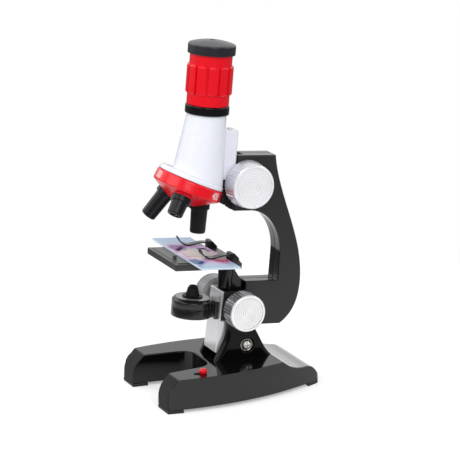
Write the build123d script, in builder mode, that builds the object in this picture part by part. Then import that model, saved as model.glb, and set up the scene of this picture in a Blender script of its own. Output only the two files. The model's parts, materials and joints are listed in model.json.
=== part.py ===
from build123d import *
import os
from math import atan2, cos, degrees, pi, radians, sin

os.makedirs("parts", exist_ok=True)

# A toy compound microscope, in millimetres. The front, where the legs are open, faces -Y and +Z is up.
# The arm and all it carries are drawn upright and then leaned back about the tilt axle.

# Fits
run_fit = 0.06
gap = 0.2
screw_fit = 0.05

# Base: a horseshoe with sloped toes, a flat deck and a tail that sweeps down to the back
base_len = 110.6
toe_half_w = 35.6
side_half_w = 38.7
tail_half_w = 20.8
widest_y = -13.0
deck_z = 20.6
base_draft = 1.5
base_wall = 2.4
base_edge_r = 0.8
tail_corner_r = 5.0
foot_h = 2.0
foot_len = 9.9
toe_z = 13.0
toe_slope = 7.5
notch_half_w = 20.0
notch_end_half_w = 17.0
notch_corner_r = 10.0
notch_end_y = -17.2
slope_y = 25.5
slope_fall = 0.95
tail_y = 45.0
tail_z = 13.6
tail_round_y = 51.9
tail_round_z = 9.6

# Bottom plate, battery bay and screws under the base
plate_t = 1.8
plate_recess = 0.3
plate_gap = 0.15
cell_r = 7.0
cell_len = 50.5
cell_tip_r = 2.6
cell_tip_len = 1.0
cell_pitch = 15.2
bay_y = 7.6
bay_play = 0.4
contact_t = 0.5
contact_h = 12.0
contact_play = 0.2
bay_wall_t = 1.5
door_t = 0.9
door_ledge = 3.0
base_screw_r = 1.2
base_screw_head_r = 2.6
base_screw_head_h = 1.3
base_screw_len = 8.0
base_post_r = 3.2
front_screw_x = 28.0
screw_foot_gap = 1.3
rear_screw_x = 21.0
rear_screw_in = 18.3

# Power switch on the right leg
switch_clear = 0.7
switch_in = 26.6
switch_r = 2.4
switch_rise = 2.6
switch_travel = 4.0
switch_slot_w = 3.0
switch_flange_w = 8.0
switch_flange_t = 1.0
switch_body_len = 14.0
switch_body_h = 7.0

# Pillar: two cheeks that hold the tilt axle, with a cross screw and its spacer
tilt_y = 2.3
tilt_z = 54.2
ear_r = 6.5
ear_boss_r = 5.2
cheek_in = 9.2
cheek_out = 14.0
cheek_front_y = -13.2
cheek_front_mid_y = -5.0
cheek_front_mid_z = 37.3
cheek_back_mid_y = 14.8
cheek_back_mid_z = 38.2
cheek_front_rise = 2.1
cheek_edge_r = 2.8
cross_y = 8.3
cross_z = 28.9
cross_r = 1.6
cross_head_r = 2.9
cross_head_h = 1.8
cross_bore_r = 4.5
cross_bore_depth = 2.4
cross_slot_w = 0.7
cross_slot_depth = 0.8
spacer_r = 3.2
nut_across = 5.5
nut_t = 2.4

# Tilt axle and its knobs
lean = 5.05
axle_r = 3.0
tilt_knob_x = 16.7
tilt_knob_gap = 0.3
tilt_knob_len = 10.9
tilt_knob_r = 11.9
tilt_knob_face_r = 11.7
tilt_knob_ribs = 40

# Knobs in general: a raised rim round a face with rings, and ribs on the side
knob_rim_w = 1.6
knob_face_drop = 0.6
knob_ring_w = 0.5
knob_ring_h = 0.25
knob_rings = 6
knob_edge = 0.5
knob_rib_r = 0.5
knob_hub_depth = 3.0

# Arm: two halves that meet on the middle plane
arm_half = 7.2
arm_edge_r = 1.0
arm_top_z = 149.4
arm_top_back_y = 22.6
arm_back_mid_y = 35.4
arm_back_mid_z = 112.2
arm_back_y = 47.2
arm_back_z = 69.0
arm_heel_y = 44.4
arm_heel_z = 52.0
arm_foot_y = 35.3
arm_foot_z = 40.9
head_front_y = -3.2
head_floor_z = 114.3
head_floor_y = 8.5
inner_y = 31.0
inner_bend_z = 86.0
quarter_turn = 90.0
jaw_top_z = 69.3
jaw_step_y = 9.0
jaw_front_z = 63.5
tail_bottom_z = 25.0
tail_back_y = 4.0
pad_half = 8.7
pad_bottom_z = 45.2
pad_back_y = 11.0
arm_screw_r = 1.3
arm_screw_head_r = 2.6
arm_screw_head_h = 1.6
arm_screw_len = 11.0
arm_screw_bore = 2.2
arm_screw_cover = 1.5
arm_screw_top_y = 15.0
arm_screw_top_z = 142.5
arm_screw_mid_y = 38.0
arm_screw_mid_z = 84.0
arm_screw_low_y = 37.0
arm_screw_low_z = 55.0

# Column cover on the front of the arm's tail
cover_half = 8.8
cover_t = 1.5
cover_bottom_z = 24.0
cover_top_z = 63.5
cover_bottom_y = -8.9
cover_top_y = -7.45
flange_top_z = 45.0
flange_depth = 5.5

# Focus: shaft, pinion and rack
focus_y = 3.66
focus_z = 131.75
shaft_r = 1.6
tooth_module = 0.6
pinion_teeth = 10
pinion_half_w = 3.0
pressure_angle = 20.0
dedendum_ratio = 1.25
rack_bottom_z = 114.5
rack_top_z = 147.0
rack_neck_half = 2.4
rack_head_half = 3.5
rack_neck_t = 1.7
rack_foot_half = 5.0
rack_foot_front_y = -9.6
rack_foot_bottom_z = 118.0
tooth_backlash = 0.12
focus_knob_x = 7.5
focus_knob_len = 10.9
focus_knob_r = 14.9
focus_knob_face_r = 13.7
focus_knob_ribs = 48

# Body tube and nosepiece: the nosepiece axis leans forward and crosses the optical axis at the apex
optic_y = -23.55
tube_top_z = 174.4
tube_top_r = 12.1
tube_wall = 1.6
apex_z = 154.6
nose_tilt = 19.5
nose_drop = 22.6
nose_r = 21.1
nose_rim_h = 6.7
nose_flare = 0.5
nose_floor_r = 8.5
nose_floor_h = 14.6
nose_edge = 0.6
flange_r = 20.7
flange_t = 2.8
flange_edge = 0.8
tube_foot_r = 16.4
tube_foot_back = 4.2
light_r = 4.4
pivot_r = 2.2
pivot_head_r = 4.2
pivot_head_h = 1.8
pivot_slot_w = 0.9
ring_r = 13.55
ring_h = 5.3
ring_edge = 0.6

# Rack carrier behind the tube
carrier_half = 6.2
carrier_top_z = 164.5
carrier_bottom_z = 134.0
carrier_front_y = -14.5
carrier_edge_r = 1.8
carrier_screw_y = -7.2
carrier_screw_r = 0.9
carrier_screw_head_r = 1.7
carrier_screw_head_h = 0.8
carrier_screw_len = 9.0

# Objectives, measured down their own axes from the apex
objective_seat = 36.2
boss_r = 6.5
boss_h = 7.1
thread_r = 3.5
thread_len = 4.0
collar_r = 6.3
collar_h = 3.5
objective_top_r = 5.2
objective_tip_r = 4.8
objective_bore_r = 2.6
objective_tip_edge = 0.5
lens_t = 1.2
lens_inset = 0.6
reach_low = 48.2
reach_mid = 54.9
reach_high = 56.8

# Eyepiece
barrel_bottom_z = 179.9
barrel_low_r = 13.0
barrel_high_r = 13.0
grip_bottom_z = 186.9
grip_top_z = 204.3
grip_r = 14.2
grip_pads = 12
grip_groove_w = 1.3
grip_edge = 0.5
cap_bottom_z = 211.0
cap_h = 6.3
cap_dome = 2.2
cap_r = 14.6
cap_edge = 0.7
cap_wall = 2.0
pupil_r = 1.3
pupil_cone = 0.7
draw_bottom_z = 141.0
draw_wall = 1.2
draw_seat = 18.0
eye_lens_r = 7.6
eye_lens_t = 3.0
field_lens_t = 2.4

# Stage
stage_half = 22.2
stage_front_y = -46.5
stage_back_y = -2.0
stage_top_z = 85.8
stage_t = 4.5
stage_rim_w = 2.4
stage_rim_drop = 0.5
stage_edge_r = 0.6
stage_hole_r = 5.5
stage_pin_x = 9.4
stage_pin_y = -42.0
stage_pin_r = 1.3
stage_pin_h = 2.4
post_r = 4.8
post_y = -2.0
gusset_half = 3.4
gusset_top_y = -1.2
gusset_step_z = 66.8
shelf_half = 6.5
shelf_front_y = -15.0
shelf_t = 1.6
stage_screw_x = 4.2
stage_screw_y = -11.8
stage_screw_r = 0.9
stage_screw_head_r = 1.8
stage_screw_head_h = 0.9
stage_screw_len = 5.0

# Stage clips: a spring strip with a turned-up tip under a knurled head
clip_x = 16.0
clip_y = -5.8
clip_left_turn = 8.0
clip_w = 5.0
clip_t = 0.7
clip_head_w = 7.6
clip_head_len = 6.6
clip_head_h = 4.6
clip_head_back_h = 1.0
clip_ridge_len = 2.7
clip_head_ribs = 3
clip_rib_depth = 0.3
clip_lift = 0.35
clip_root_z = 1.7
clip_crest_y = -13.5
clip_crest_z = 1.7
clip_low_y = -22.5
clip_tip_y = -28.5
clip_tip_z = 5.4
clip_tip_rise = 3.5
clip_tip_r = 1.2
clip_pin_r = 1.2
clip_pin_head_r = 2.2
clip_pin_head_h = 0.8

# Specimen slide
slide_len = 76.0
slide_w = 26.0
slide_t = 1.2
cover_glass_w = 20.0
cover_glass_t = 0.17

# Lamp and mirror
lamp_r = 12.7
lamp_bottom_z = 46.9
lamp_top_z = 58.8
lamp_chamfer = 1.7
lamp_seam = 0.4
bezel_r = 10.4
bezel_h = 0.5
hood_ring_r = 6.4
hood_ring_h = 0.9
hood_foot_r = 4.7
hood_shoulder_r = 3.5
hood_shoulder_drop = 1.7
hood_top_r = 2.4
hood_top_z = 66.0
hood_sides = 8
hood_bore_r = 1.9
bulb_r = 1.75
bulb_len = 5.0
mirror_r = 10.6
mirror_t = 1.0
mirror_pocket = 1.4
neck_half = 7.0
neck_back_y = -10.5
neck_margin = 0.3
neck_roof = 0.75
lamp_pin_r = 2.0
lamp_pin_front_y = -17.0
bracket_half = 6.8
bracket_bottom_z = 45.2
bracket_top_z = 56.5

# Values worked out from the sizes above
half_len = base_len / 2
through = 2 * base_len
plate_bottom_z = foot_h + plate_recess
plate_top_z = plate_bottom_z + plate_t
cell_z = plate_bottom_z + door_t + bay_play + cell_r
bay_half_len = cell_len / 2 + contact_play + contact_t
bay_half_w = cell_pitch / 2 + cell_r + bay_play
front_screw_y = foot_len + base_screw_head_r + screw_foot_gap - half_len
rear_screw_y = half_len - rear_screw_in
base_screw_places = [
    (side * x, y)
    for side in (1, -1)
    for x, y in ((front_screw_x, front_screw_y), (rear_screw_x, rear_screw_y))
]
leg_side_x = (toe_half_w + side_half_w) / 2
switch_x = (notch_half_w + leg_side_x) / 2
switch_y = switch_in - half_len
switch_body_w = 2 * (leg_side_x - base_wall - switch_clear - switch_x)
pinion_r = tooth_module * pinion_teeth / 2
rack_pitch = pi * tooth_module
rack_pitch_y = focus_y - pinion_r
addendum = tooth_module
dedendum = dedendum_ratio * tooth_module
rack_root_y = rack_pitch_y - dedendum
carrier_back_y = head_front_y - gap
rack_neck_y = carrier_back_y + rack_neck_t
stage_bottom_z = stage_top_z - stage_t
slide_top_z = stage_top_z + slide_t
lamp_z = (lamp_bottom_z + lamp_top_z) / 2
cover_slope = (cover_top_y - cover_bottom_y) / (cover_top_z - cover_bottom_z)
lamp_pin_back_y = cover_bottom_y + (lamp_z - cover_bottom_z) * cover_slope + cover_t - gap
bore_r = tube_top_r - tube_wall
draw_r = bore_r - run_fit
draw_in_r = draw_r - draw_wall
apex = (0, optic_y, apex_z)
nose_up = (0, sin(radians(nose_tilt)), cos(radians(nose_tilt)))
nose_back = (0, cos(radians(nose_tilt)), -sin(radians(nose_tilt)))
nose_centre = (0, optic_y - nose_drop * nose_up[1], apex_z - nose_drop * nose_up[2])
nose_plane = Plane(nose_centre, x_dir=(1, 0, 0), z_dir=nose_up)
nose_side = Plane(nose_centre, x_dir=nose_back, z_dir=(1, 0, 0))
nose_axis = Axis(nose_centre, nose_up)
optic_side = Plane((0, optic_y, 0), x_dir=(0, 1, 0), z_dir=(1, 0, 0))
optic_axis = Axis((0, optic_y, 0), (0, 0, 1))

# The lean of the arm about the tilt axle
tilt_place = Location((0, tilt_y, tilt_z))
lean_back = tilt_place * Location((0, 0, 0), (-lean, 0, 0)) * tilt_place.inverse()


def save(piece, name):
    """Label a piece that stands on the base and write it."""
    piece.label = name
    export_step(piece, f"parts/{name}.step")


def save_leaned(piece, name):
    """Lean a piece that the arm carries back about the tilt axle and write it."""
    save(piece.moved(lean_back), name)


def cross_plane(y, z, x=0):
    """A plane square to X at a point of the side view, with Y and Z as its own axes."""
    return Plane((x, y, z), x_dir=(0, 1, 0), z_dir=(1, 0, 0))


def cross_axis(y, z):
    """A line along X through a point of the side view."""
    return Axis((0, y, z), (1, 0, 0))


def spun_along_x(y, z):
    """The plane for a profile of (x, radius) that is turned about a line along X."""
    return Plane((0, y, z), x_dir=(1, 0, 0), z_dir=(0, 0, 1))


def pan_screw(plane, head_r, head_h, shank_r, length):
    """Pan-head screw whose head sits on the plane and whose shank runs down its normal."""
    with BuildPart() as screw:
        with BuildSketch(plane):
            Circle(head_r)
        extrude(amount=head_h)
        head_top = screw.faces().sort_by(Axis(plane.origin, plane.z_dir))[-1]
        fillet(head_top.edges(), head_h / 2)
        with BuildSketch(plane):
            Circle(shank_r)
        extrude(amount=-length)
    return screw.part


def down_plane(x, y, z):
    """A plane that faces the floor."""
    return Plane((x, y, z), x_dir=(1, 0, 0), z_dir=(0, 0, -1))


def level_plane(z):
    """A level plane at a height."""
    return Plane.XY.offset(z)


def cover_front(z):
    """How far forward the sloped face of the column cover is at a height."""
    return cover_bottom_y + (z - cover_bottom_z) * cover_slope


# Base


def base_plan(inset, draw=0.0):
    """Horseshoe outline, drawn in by inset all round and by draw on its outer sides."""
    outer = inset + draw
    front = -half_len + inset
    back = half_len - inset
    bend_y = notch_end_y - notch_corner_r
    flat_half = notch_end_half_w - notch_corner_r
    notch_end = notch_end_y + inset
    with BuildSketch() as plan:
        with BuildLine():
            toe = Line((notch_half_w + inset, front), (toe_half_w - outer, front))
            side = ThreePointArc(toe @ 1, (side_half_w - outer, widest_y), (tail_half_w - outer, back))
            Line(toe @ 0, (notch_end_half_w + inset, bend_y))
            CenterArc((flat_half, bend_y), notch_corner_r + inset, 0, 90)
            mirror(about=Plane.YZ)
            Line(side @ 1, (outer - tail_half_w, back))
            Line((flat_half, notch_end), (-flat_half, notch_end))
        make_face()
        fillet(plan.vertices().group_by(Axis.Y)[-1], tail_corner_r)
    return plan.sketch


def base_form(inset, drop):
    """Drafted horseshoe block, cut to the side view of the base and lowered by drop."""
    with BuildPart() as form:
        with BuildSketch(Plane.XY.offset(foot_h)):
            add(base_plan(inset))
        with BuildSketch(Plane.XY.offset(deck_z)):
            add(base_plan(inset, base_draft))
        loft(ruled=True)
        with BuildSketch(cross_plane(0, -drop)):
            with BuildLine():
                deck = Polyline(
                    (half_len, foot_h),
                    (half_len, -deck_z),
                    (-half_len, -deck_z),
                    (-half_len, toe_z),
                    (-half_len + toe_slope, deck_z),
                    (slope_y, deck_z),
                )
                sweep_down = Spline(
                    deck @ 1,
                    (tail_y, tail_z),
                    tangents=[(1, -slope_fall), (1, 0)],
                )
                ThreePointArc(sweep_down @ 1, (tail_round_y, tail_round_z), deck @ 0)
            make_face()
        extrude(amount=through, both=True, mode=Mode.INTERSECT)
    return form.part


with BuildPart() as base_cavity:
    add(base_form(base_wall, base_wall))
    with Locations(*base_screw_places):
        Cylinder(base_post_r, through, mode=Mode.SUBTRACT)
    with BuildSketch() as bay_walls:
        with Locations((bay_half_len + bay_wall_t / 2, bay_y), (-bay_half_len - bay_wall_t / 2, bay_y)):
            Rectangle(bay_wall_t, 2 * bay_half_w)
    extrude(amount=through, mode=Mode.SUBTRACT)

with BuildPart() as base_shell:
    add(base_form(0, 0))
    add(base_cavity.part, mode=Mode.SUBTRACT)
    with BuildSketch(Plane.XY.offset(foot_h)):
        add(base_plan(base_wall))
    extrude(amount=plate_top_z - foot_h, mode=Mode.SUBTRACT)
    with Locations(*[(x, y, plate_top_z) for x, y in base_screw_places]):
        Cylinder(
            base_screw_r + screw_fit,
            base_screw_len,
            align=(Align.CENTER, Align.CENTER, Align.MIN),
            mode=Mode.SUBTRACT,
        )
    with BuildSketch(Plane.XY.offset(deck_z)):
        with Locations((switch_x, switch_y - switch_travel / 2)):
            SlotOverall(switch_travel + switch_slot_w + 2 * gap, switch_slot_w + 2 * gap, rotation=90)
    extrude(amount=-2 * base_wall, mode=Mode.SUBTRACT)
save(base_shell.part, "base_shell")

with BuildPart() as foot_pads:
    with BuildSketch():
        add(base_plan(0))
    extrude(amount=foot_h)
    with BuildSketch():
        Rectangle(through, base_len - 2 * foot_len)
    extrude(amount=foot_h, mode=Mode.SUBTRACT)
save(foot_pads.part, "foot_pads")

door_half_len = bay_half_len + door_ledge
door_screw_x = bay_half_len + door_ledge / 2
with BuildPart() as base_plate:
    with BuildSketch(Plane.XY.offset(plate_bottom_z)):
        add(base_plan(base_wall + plate_gap))
        with Locations((0, bay_y)):
            Rectangle(2 * bay_half_len, 2 * bay_half_w, mode=Mode.SUBTRACT)
        with Locations(*base_screw_places):
            Circle(base_screw_r + screw_fit, mode=Mode.SUBTRACT)
    extrude(amount=plate_t)
    with BuildSketch(Plane.XY.offset(plate_bottom_z)):
        with Locations((0, bay_y)):
            Rectangle(2 * door_half_len, 2 * bay_half_w)
    extrude(amount=door_t, mode=Mode.SUBTRACT)
    with Locations((door_screw_x, bay_y, plate_top_z)):
        Cylinder(base_screw_r + screw_fit, 2 * plate_t, mode=Mode.SUBTRACT)
save(base_plate.part, "base_plate")

with BuildPart() as battery_door:
    with BuildSketch(Plane.XY.offset(plate_bottom_z)):
        with Locations((0, bay_y)):
            RectangleRounded(2 * (door_half_len - plate_gap), 2 * (bay_half_w - plate_gap), base_edge_r)
        with Locations((door_screw_x, bay_y)):
            Circle(base_screw_r + screw_fit, mode=Mode.SUBTRACT)
    extrude(amount=door_t)
save(battery_door.part, "battery_door")


with BuildPart() as base_screws:
    for x, y in base_screw_places:
        add(
            pan_screw(
                down_plane(x, y, plate_bottom_z),
                base_screw_head_r,
                base_screw_head_h,
                base_screw_r,
                base_screw_len,
            )
        )
save(base_screws.part, "base_screws")

with BuildPart() as door_screw:
    add(
        pan_screw(
            down_plane(door_screw_x, bay_y, plate_bottom_z),
            base_screw_head_r,
            base_screw_head_h,
            base_screw_r,
            plate_t,
        )
    )
save(door_screw.part, "door_screw")

with BuildPart() as battery_cells:
    for side in (1, -1):
        cell_plane = Plane((0, bay_y + side * cell_pitch / 2, cell_z), x_dir=(0, 1, 0), z_dir=(side, 0, 0))
        body_len = cell_len - cell_tip_len
        with BuildSketch(cell_plane.offset(-cell_len / 2)):
            Circle(cell_r)
        extrude(amount=body_len)
        with BuildSketch(cell_plane.offset(body_len - cell_len / 2)):
            Circle(cell_tip_r)
        extrude(amount=cell_tip_len)
save(battery_cells.part, "battery_cells")

with BuildPart() as battery_contacts:
    for side in (1, -1):
        with BuildSketch(cross_plane(bay_y, cell_z, side * bay_half_len)):
            RectangleRounded(2 * bay_half_w, contact_h, base_edge_r)
        extrude(amount=-side * contact_t)
save(battery_contacts.part, "battery_contacts")

# Power switch: a round red button on a flange that runs in a slot of the deck
deck_under_z = deck_z - base_wall
with BuildPart() as switch_slider:
    with BuildSketch(Plane.XY.offset(deck_under_z - gap)):
        with Locations((switch_x, switch_y)):
            Rectangle(switch_flange_w, switch_flange_w)
    extrude(amount=-switch_flange_t)
    with BuildSketch(Plane.XY.offset(deck_under_z - gap)):
        with Locations((switch_x, switch_y)):
            Circle(switch_slot_w / 2)
    extrude(amount=base_wall + 2 * gap)
    with BuildSketch(Plane.XY.offset(deck_z + gap)):
        with Locations((switch_x, switch_y)):
            Circle(switch_r)
    extrude(amount=switch_rise)
    fillet(switch_slider.faces().sort_by(Axis.Z)[-1].edges(), switch_r / 2)
save(switch_slider.part, "switch_slider")

with BuildPart() as switch_body:
    with BuildSketch(Plane.XY.offset(deck_under_z)):
        with Locations((switch_x, switch_y - switch_travel / 2)):
            Rectangle(switch_body_w, switch_body_len)
    extrude(amount=-switch_body_h)
    with BuildSketch(Plane.XY.offset(deck_under_z)):
        with Locations((switch_x, switch_y - switch_travel / 2)):
            Rectangle(switch_flange_w + 2 * gap, switch_flange_w + switch_travel + 2 * gap)
    extrude(amount=-2 * gap - switch_flange_t, mode=Mode.SUBTRACT)
save(switch_body.part, "switch_body")

# Pillar

with BuildPart() as pillar_right:
    with BuildSketch(cross_plane(0, 0, cheek_in)):
        with BuildLine():
            foot = Line((slope_y, deck_z), (cheek_front_y, deck_z))
            front = Spline(
                foot @ 1,
                (cheek_front_mid_y, cheek_front_mid_z),
                (tilt_y - ear_r, tilt_z),
                tangents=[(1, cheek_front_rise), (0, 1)],
            )
            ear = ThreePointArc(front @ 1, (tilt_y, tilt_z + ear_r), (tilt_y + ear_r, tilt_z))
            Spline(
                ear @ 1,
                (cheek_back_mid_y, cheek_back_mid_z),
                foot @ 0,
                tangents=[(0, -1), (1, -slope_fall)],
            )
        make_face()
    extrude(amount=cheek_out - cheek_in)
    outer_edges = pillar_right.faces().sort_by(Axis.X)[-1].edges()
    fillet(outer_edges.sort_by(Axis.Z)[1:], cheek_edge_r)
    with BuildSketch(cross_plane(tilt_y, tilt_z, cheek_in)):
        Circle(ear_boss_r)
    extrude(amount=tilt_knob_x - tilt_knob_gap - cheek_in)
    with BuildSketch(cross_plane(0, 0)):
        with Locations((tilt_y, tilt_z)):
            Circle(axle_r + run_fit)
        with Locations((cross_y, cross_z)):
            Circle(cross_r + screw_fit)
    extrude(amount=through, mode=Mode.SUBTRACT)
    with BuildSketch(cross_plane(cross_y, cross_z, cheek_out)):
        Circle(cross_bore_r)
    extrude(amount=-cross_bore_depth, mode=Mode.SUBTRACT)
save(pillar_right.part, "pillar_right")

with BuildPart() as pillar_left:
    mirror(pillar_right.part, about=Plane.YZ)
save(pillar_left.part, "pillar_left")

head_seat_x = cheek_out - cross_bore_depth
with BuildPart() as pillar_screw:
    with BuildSketch(cross_plane(cross_y, cross_z, head_seat_x)):
        Circle(cross_head_r)
    extrude(amount=cross_head_h)
    fillet(pillar_screw.faces().sort_by(Axis.X)[-1].edges(), cross_head_h / 2)
    with BuildSketch(cross_plane(cross_y, cross_z, head_seat_x + cross_head_h)):
        Rectangle(2 * cross_head_r - cross_slot_w, cross_slot_w)
        Rectangle(cross_slot_w, 2 * cross_head_r - cross_slot_w)
    extrude(amount=-cross_slot_depth, mode=Mode.SUBTRACT)
    with BuildSketch(cross_plane(cross_y, cross_z, head_seat_x)):
        Circle(cross_r)
    extrude(amount=-2 * head_seat_x - nut_t)
save(pillar_screw.part, "pillar_screw")

with BuildPart() as pillar_nut:
    with BuildSketch(cross_plane(cross_y, cross_z, -head_seat_x)):
        RegularPolygon(nut_across / 2, 6, major_radius=False)
        Circle(cross_r + screw_fit, mode=Mode.SUBTRACT)
    extrude(amount=-nut_t)
save(pillar_nut.part, "pillar_nut")

with BuildPart() as pillar_spacer:
    with BuildSketch(cross_plane(cross_y, cross_z, -cheek_in)):
        Circle(spacer_r)
        Circle(cross_r + screw_fit, mode=Mode.SUBTRACT)
    extrude(amount=2 * cheek_in)
save(pillar_spacer.part, "pillar_spacer")

# Knobs


def knob(y, z, start, length, back_r, face_r, ribs, hub_r):
    """Right-hand knob on a shaft along X, with a ringed face, a ribbed side and a hollow back."""
    end = start + length
    hollow_r = back_r - 2 * knob_rim_w
    ring_step = (face_r - knob_rim_w) / (knob_rings + 1)
    with BuildPart() as turned:
        with BuildSketch(spun_along_x(y, z)):
            with BuildLine():
                Polyline(
                    (start, hub_r),
                    (start, hub_r + knob_rim_w),
                    (start + knob_hub_depth, hub_r + knob_rim_w),
                    (start + knob_hub_depth, hollow_r),
                    (start, hollow_r),
                    (start, back_r),
                    (end - knob_edge, face_r),
                    (end, face_r - knob_edge),
                    (end, face_r - knob_rim_w),
                    (end - knob_face_drop, face_r - knob_rim_w),
                    (end - knob_face_drop, 0),
                    (end - knob_rim_w - knob_face_drop, 0),
                    (end - knob_rim_w - knob_face_drop, hub_r),
                    close=True,
                )
            make_face()
            for ring in range(1, knob_rings + 1):
                with Locations((end - knob_face_drop, ring * ring_step)):
                    Rectangle(knob_ring_h, knob_ring_w, align=(Align.MIN, Align.CENTER))
        revolve(axis=cross_axis(y, z))
        slope = degrees(atan2(back_r - face_r, length))
        rib_place = Location((back_r + knob_rib_r / 3, 0, 0), (0, -slope, 0))
        turns = [Location((0, 0, 0), (0, 0, 360 * rib / ribs)) for rib in range(ribs)]
        with Locations(*[cross_plane(y, z, start).location * turn * rib_place for turn in turns]):
            Cylinder(
                knob_rib_r,
                length - 2 * knob_edge,
                align=(Align.CENTER, Align.CENTER, Align.MIN),
                mode=Mode.SUBTRACT,
            )
    return turned.part


with BuildPart() as tilt_knob_right:
    add(
        knob(
            tilt_y,
            tilt_z,
            tilt_knob_x,
            tilt_knob_len,
            tilt_knob_r,
            tilt_knob_face_r,
            tilt_knob_ribs,
            axle_r,
        )
    )
save(tilt_knob_right.part, "tilt_knob_right")

with BuildPart() as tilt_knob_left:
    mirror(tilt_knob_right.part, about=Plane.YZ)
save(tilt_knob_left.part, "tilt_knob_left")

axle_end = tilt_knob_x + tilt_knob_len - knob_rim_w - knob_face_drop
with BuildPart() as tilt_axle:
    with BuildSketch(cross_plane(tilt_y, tilt_z, -axle_end)):
        Circle(axle_r)
    extrude(amount=2 * axle_end)
save(tilt_axle.part, "tilt_axle")

# Arm

arm_screw_places = [
    (arm_screw_top_y, arm_screw_top_z),
    (arm_screw_mid_y, arm_screw_mid_z),
    (arm_screw_low_y, arm_screw_low_z),
]
channel_half = rack_head_half + gap
channel_back_y = rack_pitch_y + addendum + gap
with BuildPart() as arm_right:
    with BuildSketch(cross_plane(0, 0)):
        with BuildLine():
            top = Line((head_front_y, arm_top_z), (arm_top_back_y, arm_top_z))
            back = Spline(
                top @ 1,
                (arm_back_mid_y, arm_back_mid_z),
                (arm_back_y, arm_back_z),
                (arm_heel_y, arm_heel_z),
                (arm_foot_y, arm_foot_z),
            )
            jaw = Polyline(
                back @ 1,
                (tail_back_y, arm_foot_z),
                (tail_back_y, tail_bottom_z),
                (cover_front(tail_bottom_z) + cover_t, tail_bottom_z),
                (cover_front(jaw_front_z) + cover_t, jaw_front_z),
                (jaw_step_y, jaw_front_z),
                (jaw_step_y, jaw_top_z),
                (inner_y, jaw_top_z),
                (inner_y, inner_bend_z),
            )
            inner = EllipticalCenterArc(
                (head_floor_y, inner_bend_z),
                inner_y - head_floor_y,
                head_floor_z - inner_bend_z,
                start_angle=0,
                arc_size=quarter_turn,
            )
            Polyline(inner @ 1, (head_front_y, head_floor_z), top @ 0)
        make_face()
    extrude(amount=arm_half)
    fillet(arm_right.faces().sort_by(Axis.X)[-1].edges(), arm_edge_r)
    with BuildSketch(cross_plane(0, 0)):
        with BuildLine():
            Polyline(
                (cover_front(pad_bottom_z) + cover_t, pad_bottom_z),
                (cover_front(jaw_front_z) + cover_t, jaw_front_z),
                (pad_back_y - arm_edge_r, jaw_front_z),
                (pad_back_y, jaw_front_z - arm_edge_r),
                (pad_back_y, pad_bottom_z),
                close=True,
            )
        make_face()
    extrude(amount=pad_half)
    # Bores for the tilt axle and the focus shaft
    with BuildSketch(cross_plane(0, 0)):
        with Locations((tilt_y, tilt_z)):
            Circle(axle_r + run_fit)
        with Locations((focus_y, focus_z)):
            Circle(shaft_r + run_fit)
    extrude(amount=through, mode=Mode.SUBTRACT)
    # Channel for the rack, and the hollow that the pinion turns in
    with BuildSketch(Plane.XY.offset(head_floor_z)):
        with Locations((0, head_front_y)):
            Rectangle(rack_neck_half + gap, rack_neck_y - head_front_y, align=(Align.MIN, Align.MIN))
        with Locations((0, rack_neck_y - gap)):
            Rectangle(channel_half, channel_back_y - rack_neck_y + gap, align=(Align.MIN, Align.MIN))
    extrude(amount=through, both=True, mode=Mode.SUBTRACT)
    with BuildSketch(cross_plane(focus_y, focus_z)):
        Circle(pinion_r + addendum + gap)
    extrude(amount=channel_half, mode=Mode.SUBTRACT)
    # Blind holes for the screws that hold the halves together
    with BuildSketch(cross_plane(0, 0)):
        with Locations(*arm_screw_places):
            Circle(arm_screw_r + screw_fit)
    extrude(amount=arm_half - arm_screw_cover, mode=Mode.SUBTRACT)
save_leaned(arm_right.part, "arm_right")

with BuildPart() as arm_left:
    mirror(arm_right.part, about=Plane.YZ)
    with BuildSketch(cross_plane(0, 0)):
        with Locations(*arm_screw_places):
            Circle(arm_screw_r + screw_fit)
    extrude(amount=-through, mode=Mode.SUBTRACT)
    with BuildSketch(cross_plane(0, 0, -arm_half)):
        with Locations(*arm_screw_places):
            Circle(arm_screw_head_r + screw_fit)
    extrude(amount=arm_screw_bore, mode=Mode.SUBTRACT)
save_leaned(arm_left.part, "arm_left")

with BuildPart() as arm_screws:
    for y, z in arm_screw_places:
        left_plane = Plane((arm_screw_bore - arm_half, y, z), x_dir=(0, 1, 0), z_dir=(-1, 0, 0))
        shank_len = arm_screw_len - arm_screw_bore
        add(pan_screw(left_plane, arm_screw_head_r, arm_screw_head_h, arm_screw_r, shank_len))
save_leaned(arm_screws.part, "arm_screws")

with BuildPart() as column_cover:
    with BuildSketch(cross_plane(0, 0)):
        with BuildLine():
            Polyline(
                (cover_front(cover_bottom_z), cover_bottom_z),
                (cover_front(cover_top_z), cover_top_z),
                (cover_front(cover_top_z) + cover_t, cover_top_z),
                (cover_front(cover_bottom_z) + cover_t, cover_bottom_z),
                close=True,
            )
        make_face()
    extrude(amount=cover_half, both=True)
    for side in (1, -1):
        with BuildSketch(cross_plane(0, 0, side * cover_half)):
            with BuildLine():
                Polyline(
                    (cover_front(cover_bottom_z), cover_bottom_z),
                    (cover_front(flange_top_z), flange_top_z),
                    (cover_front(flange_top_z) + flange_depth, flange_top_z),
                    (cover_front(cover_bottom_z) + flange_depth, cover_bottom_z),
                    close=True,
                )
            make_face()
        extrude(amount=-side * (cover_half - arm_half))
    with BuildSketch(Plane((0, 0, lamp_z), x_dir=(1, 0, 0), z_dir=(0, -1, 0))):
        Circle(lamp_pin_r + run_fit)
    extrude(amount=through, mode=Mode.SUBTRACT)
save_leaned(column_cover.part, "column_cover")

# Stage

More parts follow.
